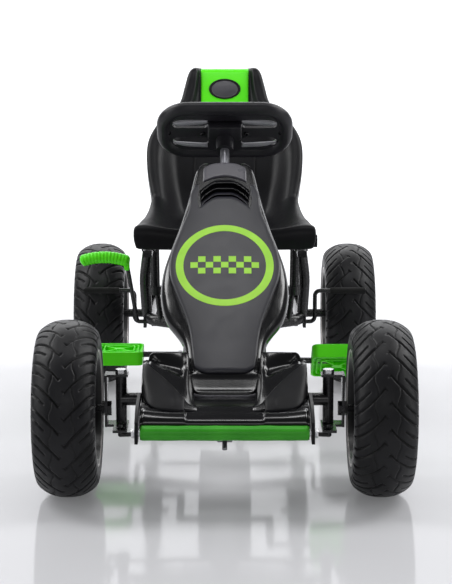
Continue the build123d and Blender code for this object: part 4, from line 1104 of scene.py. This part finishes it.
def add_pedal(hand, side, pitch):
    """A ribbed pedal: outer wall, web, nested frames and crossed ribs on both broad faces."""
    low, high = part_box(f"pedal_{hand}")
    centre = (low + high) / 2
    turn = Matrix.Rotation(math.radians(-pitch), 3, "X")

    def place(x, y, z):
        return centre + turn @ Vector((side * x * MM, y * MM, z * MM))

    solids = [frame_ring(rounded_box(84, 80, 10), rounded_box(77, 73, 7), -12, 12, place),
              frame_ring(rounded_box(69, 65, 7), rounded_box(64, 60, 5), -11, 11, place),
              frame_ring(rounded_box(55, 51, 6), rounded_box(50, 46, 4), -11.5, 11.5, place),
              prism(rounded_box(79, 75, 7), -4.5, 4.5, place)]
    for face in (-1, 1):
        rib_low, rib_high = sorted((face * 4.3, face * 10.5))
        for angle in (0.745, -0.745):
            solids.append(block((-33, -1.3, rib_low), (33, 1.3, rib_high), place, angle))
        solids.append(prism(oval(9.5, 6.5, 20), *sorted((face * 4.3, face * 11)), place))
    solids.append(prism(oval(7.6, 7.6, 24), -41.8, -34, lambda a, b, h: place(h, a, b)))
    body = join(f"pedal_body_{hand}", solids, LIME, f"pedal_{hand}", "lime_plastic", smooth=False,
                bevel=0.7 * MM, stands_for=(f"pedal_{hand}",))
    bore(body, place(-60, 0, 0), place(38, 0, 0), PEDAL_BORE)


def add_grip():
    """The arched, ribbed hand grip with rounded ends, and the socket that takes the lever."""
    y = 243.0
    start, length = -178.5, 93.0
    steps = 120
    path, radii = [], []
    for i in range(steps + 1):
        share = i / steps
        x = start - length * share
        edge = min(share, 1 - share) * length
        end = math.sqrt(max(0.02, 1 - max(0.0, 1 - edge / 7.5) ** 2))
        rib = 0.5
        if 0.10 < share < 0.92:
            rib = 0.75 * (0.5 + 0.5 * math.cos(2 * math.pi * share * 15))
        path.append((x * MM, y * MM, (273.2 - 7.6 * ((x + 226) / 44) ** 2) * MM))
        radii.append((10.6 * end + rib * end) * MM)
    add_tube("brake_grip_ribbed", path, radii, LIME, "brake", "lime_plastic", sides=32,
             stands_for=("brake_grip",))
    socket = ((268, 6.2, 7.0), (262, 6.0, 6.6), (256, 5.4, 6.0), (250, 4.9, 5.6), (247.5, 4.4, 5.0))
    lug = []
    for z, half, deep in socket:
        fall = 262 - z
        lug.append([Vector(((-184.6 + 0.06 * fall + a) * MM, (y + 0.17 * fall + b) * MM, z * MM))
                    for a, b in rounded_box(2 * half, 2 * deep, 3)])
    add_loft("brake_grip_socket", lug, LIME, "brake", "lime_plastic", subdivide=1)


def chain_spots():
    """Evenly spaced points along the chain's pitch line, as (y, z, on a toothed wheel)."""
    front, back = (-85.0, 151.0), (400.0, 137.5)
    big, small = (CHAIN_PITCH / (2 * math.sin(math.pi / teeth)) for teeth in (28, 16))
    run = Vector((back[0] - front[0], back[1] - front[1]))
    base = math.atan2(run.y, run.x)
    opening = math.acos((big - small) / run.length)
    straight = run.length * math.sin(opening)

    def on_wheel(centre, radius, angle):
        return centre[0] + radius * math.cos(angle), centre[1] + radius * math.sin(angle), True

    def between(start, end, share):
        return (start[0] + (end[0] - start[0]) * share, start[1] + (end[1] - start[1]) * share,
                share < 0.06 or share > 0.94)

    low, high = base - opening, base + opening
    low_front, high_front = on_wheel(front, big, low), on_wheel(front, big, high)
    low_back, high_back = on_wheel(back, small, low), on_wheel(back, small, high)
    stretches = [(2 * (math.pi - opening) * big, lambda at: on_wheel(front, big, high + at / big)),
                 (straight, lambda at: between(low_front, low_back, at / straight)),
                 (2 * opening * small, lambda at: on_wheel(back, small, low + at / small)),
                 (straight, lambda at: between(high_back, high_front, at / straight))]
    total = sum(length for length, _ in stretches)
    count = 2 * round(total / CHAIN_PITCH / 2)
    spots = []
    for i in range(count):
        at = total * i / count
        for length, spot in stretches:
            if at < length:
                spots.append(spot(at))
                break
            at -= length
    return spots


def add_chain():
    """The chain's plates, pins and free rollers; rollers on the toothed wheels are left out."""
    spots = chain_spots()
    plates, pins = [], []
    middle = 30.0
    for i, (y1, z1, on_wheel) in enumerate(spots):
        y2, z2 = spots[(i + 1) % len(spots)][:2]
        a = math.atan2(z2 - z1, y2 - y1)
        length = math.hypot(y2 - y1, z2 - z1)
        outline = []
        for end, first, waist in ((0, math.pi / 2, -2.9), (length, -math.pi / 2, 2.9)):
            for k in range(9):
                b = first + math.pi * k / 8
                outline.append((end + 3.9 * math.cos(b), 3.9 * math.sin(b)))
            outline.append((length * 0.5, waist))
        offset = 2.7 if i % 2 else 3.8

        def place(u, v, x, y1=y1, z1=z1, a=a):
            return Vector((x * MM, (y1 + u * math.cos(a) - v * math.sin(a)) * MM,
                           (z1 + u * math.sin(a) + v * math.cos(a)) * MM))

        for side in (-1, 1):
            plate = sorted((middle + side * offset, middle + side * (offset + 0.9)))
            plates.append(prism(outline, *plate, place))
            pin = sorted((middle + side * 3.0, middle + side * 5.4))
            pins.append(prism(oval(1.7, 1.7, 10), *pin, place))
        if not on_wheel:
            pins.append(prism(oval(3.2, 3.2, 12), middle - 2.6, middle + 2.6, place))
    join("chain_links", plates, DARK_STEEL, "chassis", "dark_steel", smooth=False, stands_for=("chain",))
    join("chain_pins", pins, BRIGHT_STEEL, "chassis", "bright_steel", smooth=False)


def add_spring():
    """The brake's return spring: an open coil with one end turned up."""
    low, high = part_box("brake_spring")
    centre = (low + high) / 2
    radius = (high.z - low.z) / 2 - 1.2 * MM
    steps, per_turn = 156, 24
    path = [Vector((low.x - 6 * MM, centre.y, centre.z + radius + 14 * MM))]
    for i in range(steps + 1):
        a = 2 * math.pi * i / per_turn
        path.append(Vector((low.x + (high.x - low.x) * i / steps, centre.y + radius * math.sin(a),
                            centre.z + radius * math.cos(a))))
    add_tube("brake_return_spring", path, 1.15 * MM, BRIGHT_STEEL, "chassis", "bright_steel", sides=10,
             stands_for=("brake_spring",))


def add_wheel_trim():
    """Light edge bands on each rim, a painted highlight on its glossy black lip, five cap bolts and a valve
    stem.
    """
    section = ((43.5, 91.2), (46.6, 91.2), (47.4, 90.4), (47.4, 88.4), (46.6, 87.4), (43.5, 87.2))
    stem = ((0, 2.6), (6, 2.6), (7, 3.0), (13, 3.0), (14, 2.2), (15, 2.0))
    count = 96
    for name, body in WHEEL_BODIES.items():
        low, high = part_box(f"tyre_{name}")
        centre = (low + high) / 2
        side = 1 if centre.x > 0 else -1
        bands = []
        for face in (-1, 1):
            points = [centre + Vector((face * x, r * math.cos(a), r * math.sin(a))) * MM
                      for a in full_turn(count) for x, r in section]
            bands.append((points, ring_faces(count, len(section))))
        # the bands are a painted highlight on the rim's glossy black lip
        join(f"rim_edge_{name}", bands, RIM_EDGE_HIGHLIGHT, body, "bright_steel")
        bolts = []
        for a in [2 * math.pi * (k + 0.5) / 5 for k in range(5)]:
            spot = centre + Vector((side * 17, 34 * math.cos(a), 34 * math.sin(a))) * MM
            bolts.append(hexagon(spot, (side, 0, 0), 8 * MM, 5.5 * MM, a))
        join(f"rim_bolts_{name}", bolts, BRIGHT_STEEL, body, "bright_steel", smooth=False)
        valve = centre + Vector((0, 0.5, 0.86)).normalized() * 71 * MM
        rows = [circle_row(valve + Vector((side * (22 + reach) * MM, 0, 0)), r * MM, (0, 1, 0), (0, 0, 1), 16)
                for reach, r in stem]
        add_loft(f"valve_{name}", rows, RUBBER, body, "rubber")


add_pedal("left", 1, 36)
add_pedal("right", -1, 0)
add_grip()
add_chain()
add_spring()
add_wheel_trim()
bore(bpy.data.objects["nose_shell"], wheel_point(0, 0, -30), wheel_point(0, 0, -260), COLUMN_BORE)


# ---- finishes of the CAD nodes ------------------------------------------------------------
dress(BLACK_STEEL, "main_beam", "front_axle_beam", "rear_hoop", "seat_rails", "seat_posts", "seat_struts",
      "bumper_brackets", "crank", "brake_rod", "knuckle_left", "knuckle_right", "seat_runners", "rear_axle",
      "tie_rod_left", "tie_rod_right")
dress(GLOSS_BLACK, "chain_case", "centre_cover", "front_fairing", "nose_cowl", "nose_vents", "nose_lip")
dress(SATIN_GREY, "nose_face", "fairing_fins")
dress(PLUM_GREY, "nose_insert")
dress(BRIGHT_STEEL, "bumper_rod", "king_bolt_left", "king_bolt_right", "brake_spring")
dress(COLUMN_STEEL, "steering_column")
dress(DARK_STEEL, "chain", "chainring", "rear_sprocket")
dress(RUBBER, "brake_pads", "frame_bushes", "axle_bearings")
dress(WHEEL_BLACK, "steering_rim", "wheel_back_cover", "wheel_hub_cap", "seat_knob")
dress(RIM_PLASTIC, "rim_front_left", "rim_front_right", "rim_rear_left", "rim_rear_right",
      "hub_cap_front_left", "hub_cap_front_right", "hub_cap_rear_left", "hub_cap_rear_right")
dress(LIME, "pedal_left", "pedal_right", "brake_grip", "cover_stripes", "headrest_panel")
dress(FOAM, "bumper_roller")
dress(DECAL, "nose_decal")


# ---- stage, light and camera --------------------------------------------------------------
def make_stage():
    """A plain pale floor that is slightly glossy, with a pale backdrop far behind."""
    material = bpy.data.materials.new("studio_floor")
    material.use_nodes = True
    tree = material.node_tree
    shader = tree.nodes["Principled BSDF"]
    patches = add_range(tree, add_noise(tree, 0.6, 2.0), 0, 1)
    tone = add_mix(tree, patches, (0.50, 0.50, 0.52), (0.55, 0.55, 0.57))
    tree.links.new(tone, shader.inputs["Base Color"])
    tree.links.new(add_range(tree, add_noise(tree, 5.0, 3.0), 0.07, 0.11), shader.inputs["Roughness"])
    shader.inputs["Emission Color"].default_value = (0.97, 0.98, 1.0, 1)
    # the floor glows faintly, and more towards the back, where it fades into the backdrop
    place = tree.nodes.new("ShaderNodeNewGeometry")
    parts = tree.nodes.new("ShaderNodeSeparateXYZ")
    tree.links.new(place.outputs["Position"], parts.inputs[0])
    glow = add_range(tree, parts.outputs["Y"], 0.12, 0.80, 0.6, 3.2)
    tree.links.new(glow, shader.inputs["Emission Strength"])
    half, back, curve, top = 6.0, 5.0, 1.6, 5.0
    bend = [math.pi / 2 * i / 16 for i in range(17)]
    profile = [(-half, 0.0)]
    profile += [(back - curve + curve * math.sin(a), curve - curve * math.cos(a)) for a in bend]
    profile += [(back, top)]
    points = [(x, y, z) for y, z in profile for x in (-half, half)]
    faces = [(2 * i, 2 * i + 1, 2 * i + 3, 2 * i + 2) for i in range(len(profile) - 1)]
    mesh = bpy.data.meshes.new("studio_floor")
    mesh.from_pydata(points, [], faces)
    mesh.materials.append(material)
    for face in mesh.polygons:
        face.use_smooth = True
    floor = bpy.data.objects.new("studio_floor", mesh)
    bpy.context.scene.collection.objects.link(floor)


def add_light(name, place, target, size, power):
    """A rectangular light that looks at a target; power is in watts."""
    lamp = bpy.data.lights.new(name, "AREA")
    lamp.shape = "RECTANGLE"
    lamp.size, lamp.size_y = size
    lamp.energy = power
    thing = bpy.data.objects.new(name, lamp)
    thing.location = place
    thing.rotation_euler = (Vector(target) - Vector(place)).to_track_quat("-Z", "Y").to_euler()
    bpy.context.scene.collection.objects.link(thing)


make_stage()
middle = (0, 0, 0.3)
add_light("high_left_softbox", (-2.0, 0.4, 2.4), middle, (0.9, 1.8), 46)
add_light("high_right_softbox", (2.0, 0.4, 2.4), middle, (0.9, 1.8), 46)
add_light("left_strip", (-2.4, -1.0, 1.0), middle, (0.35, 1.8), 16)
add_light("right_strip", (2.4, -1.0, 1.0), middle, (0.35, 1.8), 16)
add_light("front_fill", (0, -4.6, 1.9), middle, (2.6, 0.8), 20)
add_light("overhead_softbox", (0, -0.24, 2.6), (0, -0.24, 0), (0.9, 0.32), 8.5)
add_light("back_glow", (0, 3.4, 2.6), (0, 2.4, 0.6), (6.0, 1.6), 90)

world = bpy.data.worlds.new("studio")
world.use_nodes = True
world.node_tree.nodes["Background"].inputs["Color"].default_value = (0.97, 0.98, 1.0, 1)
world.node_tree.nodes["Background"].inputs["Strength"].default_value = 0.12
bpy.context.scene.world = world

bpy.context.scene.view_settings.view_transform = "Standard"
bpy.context.scene.view_settings.look = "None"
bpy.context.scene.view_settings.exposure = 0.0

camera = bpy.data.cameras.new("camera")
camera.sensor_fit = "AUTO"
camera.sensor_width = 36.0
camera.lens = 114.42
camera.shift_x = 0.0022
viewer = bpy.data.objects.new("camera", camera)
viewer.location = (0.0, -3.2025, 0.8136)
viewer.rotation_euler = (math.radians(90 - 9.985), 0, 0)
bpy.context.scene.collection.objects.link(viewer)
bpy.context.scene.camera = viewer
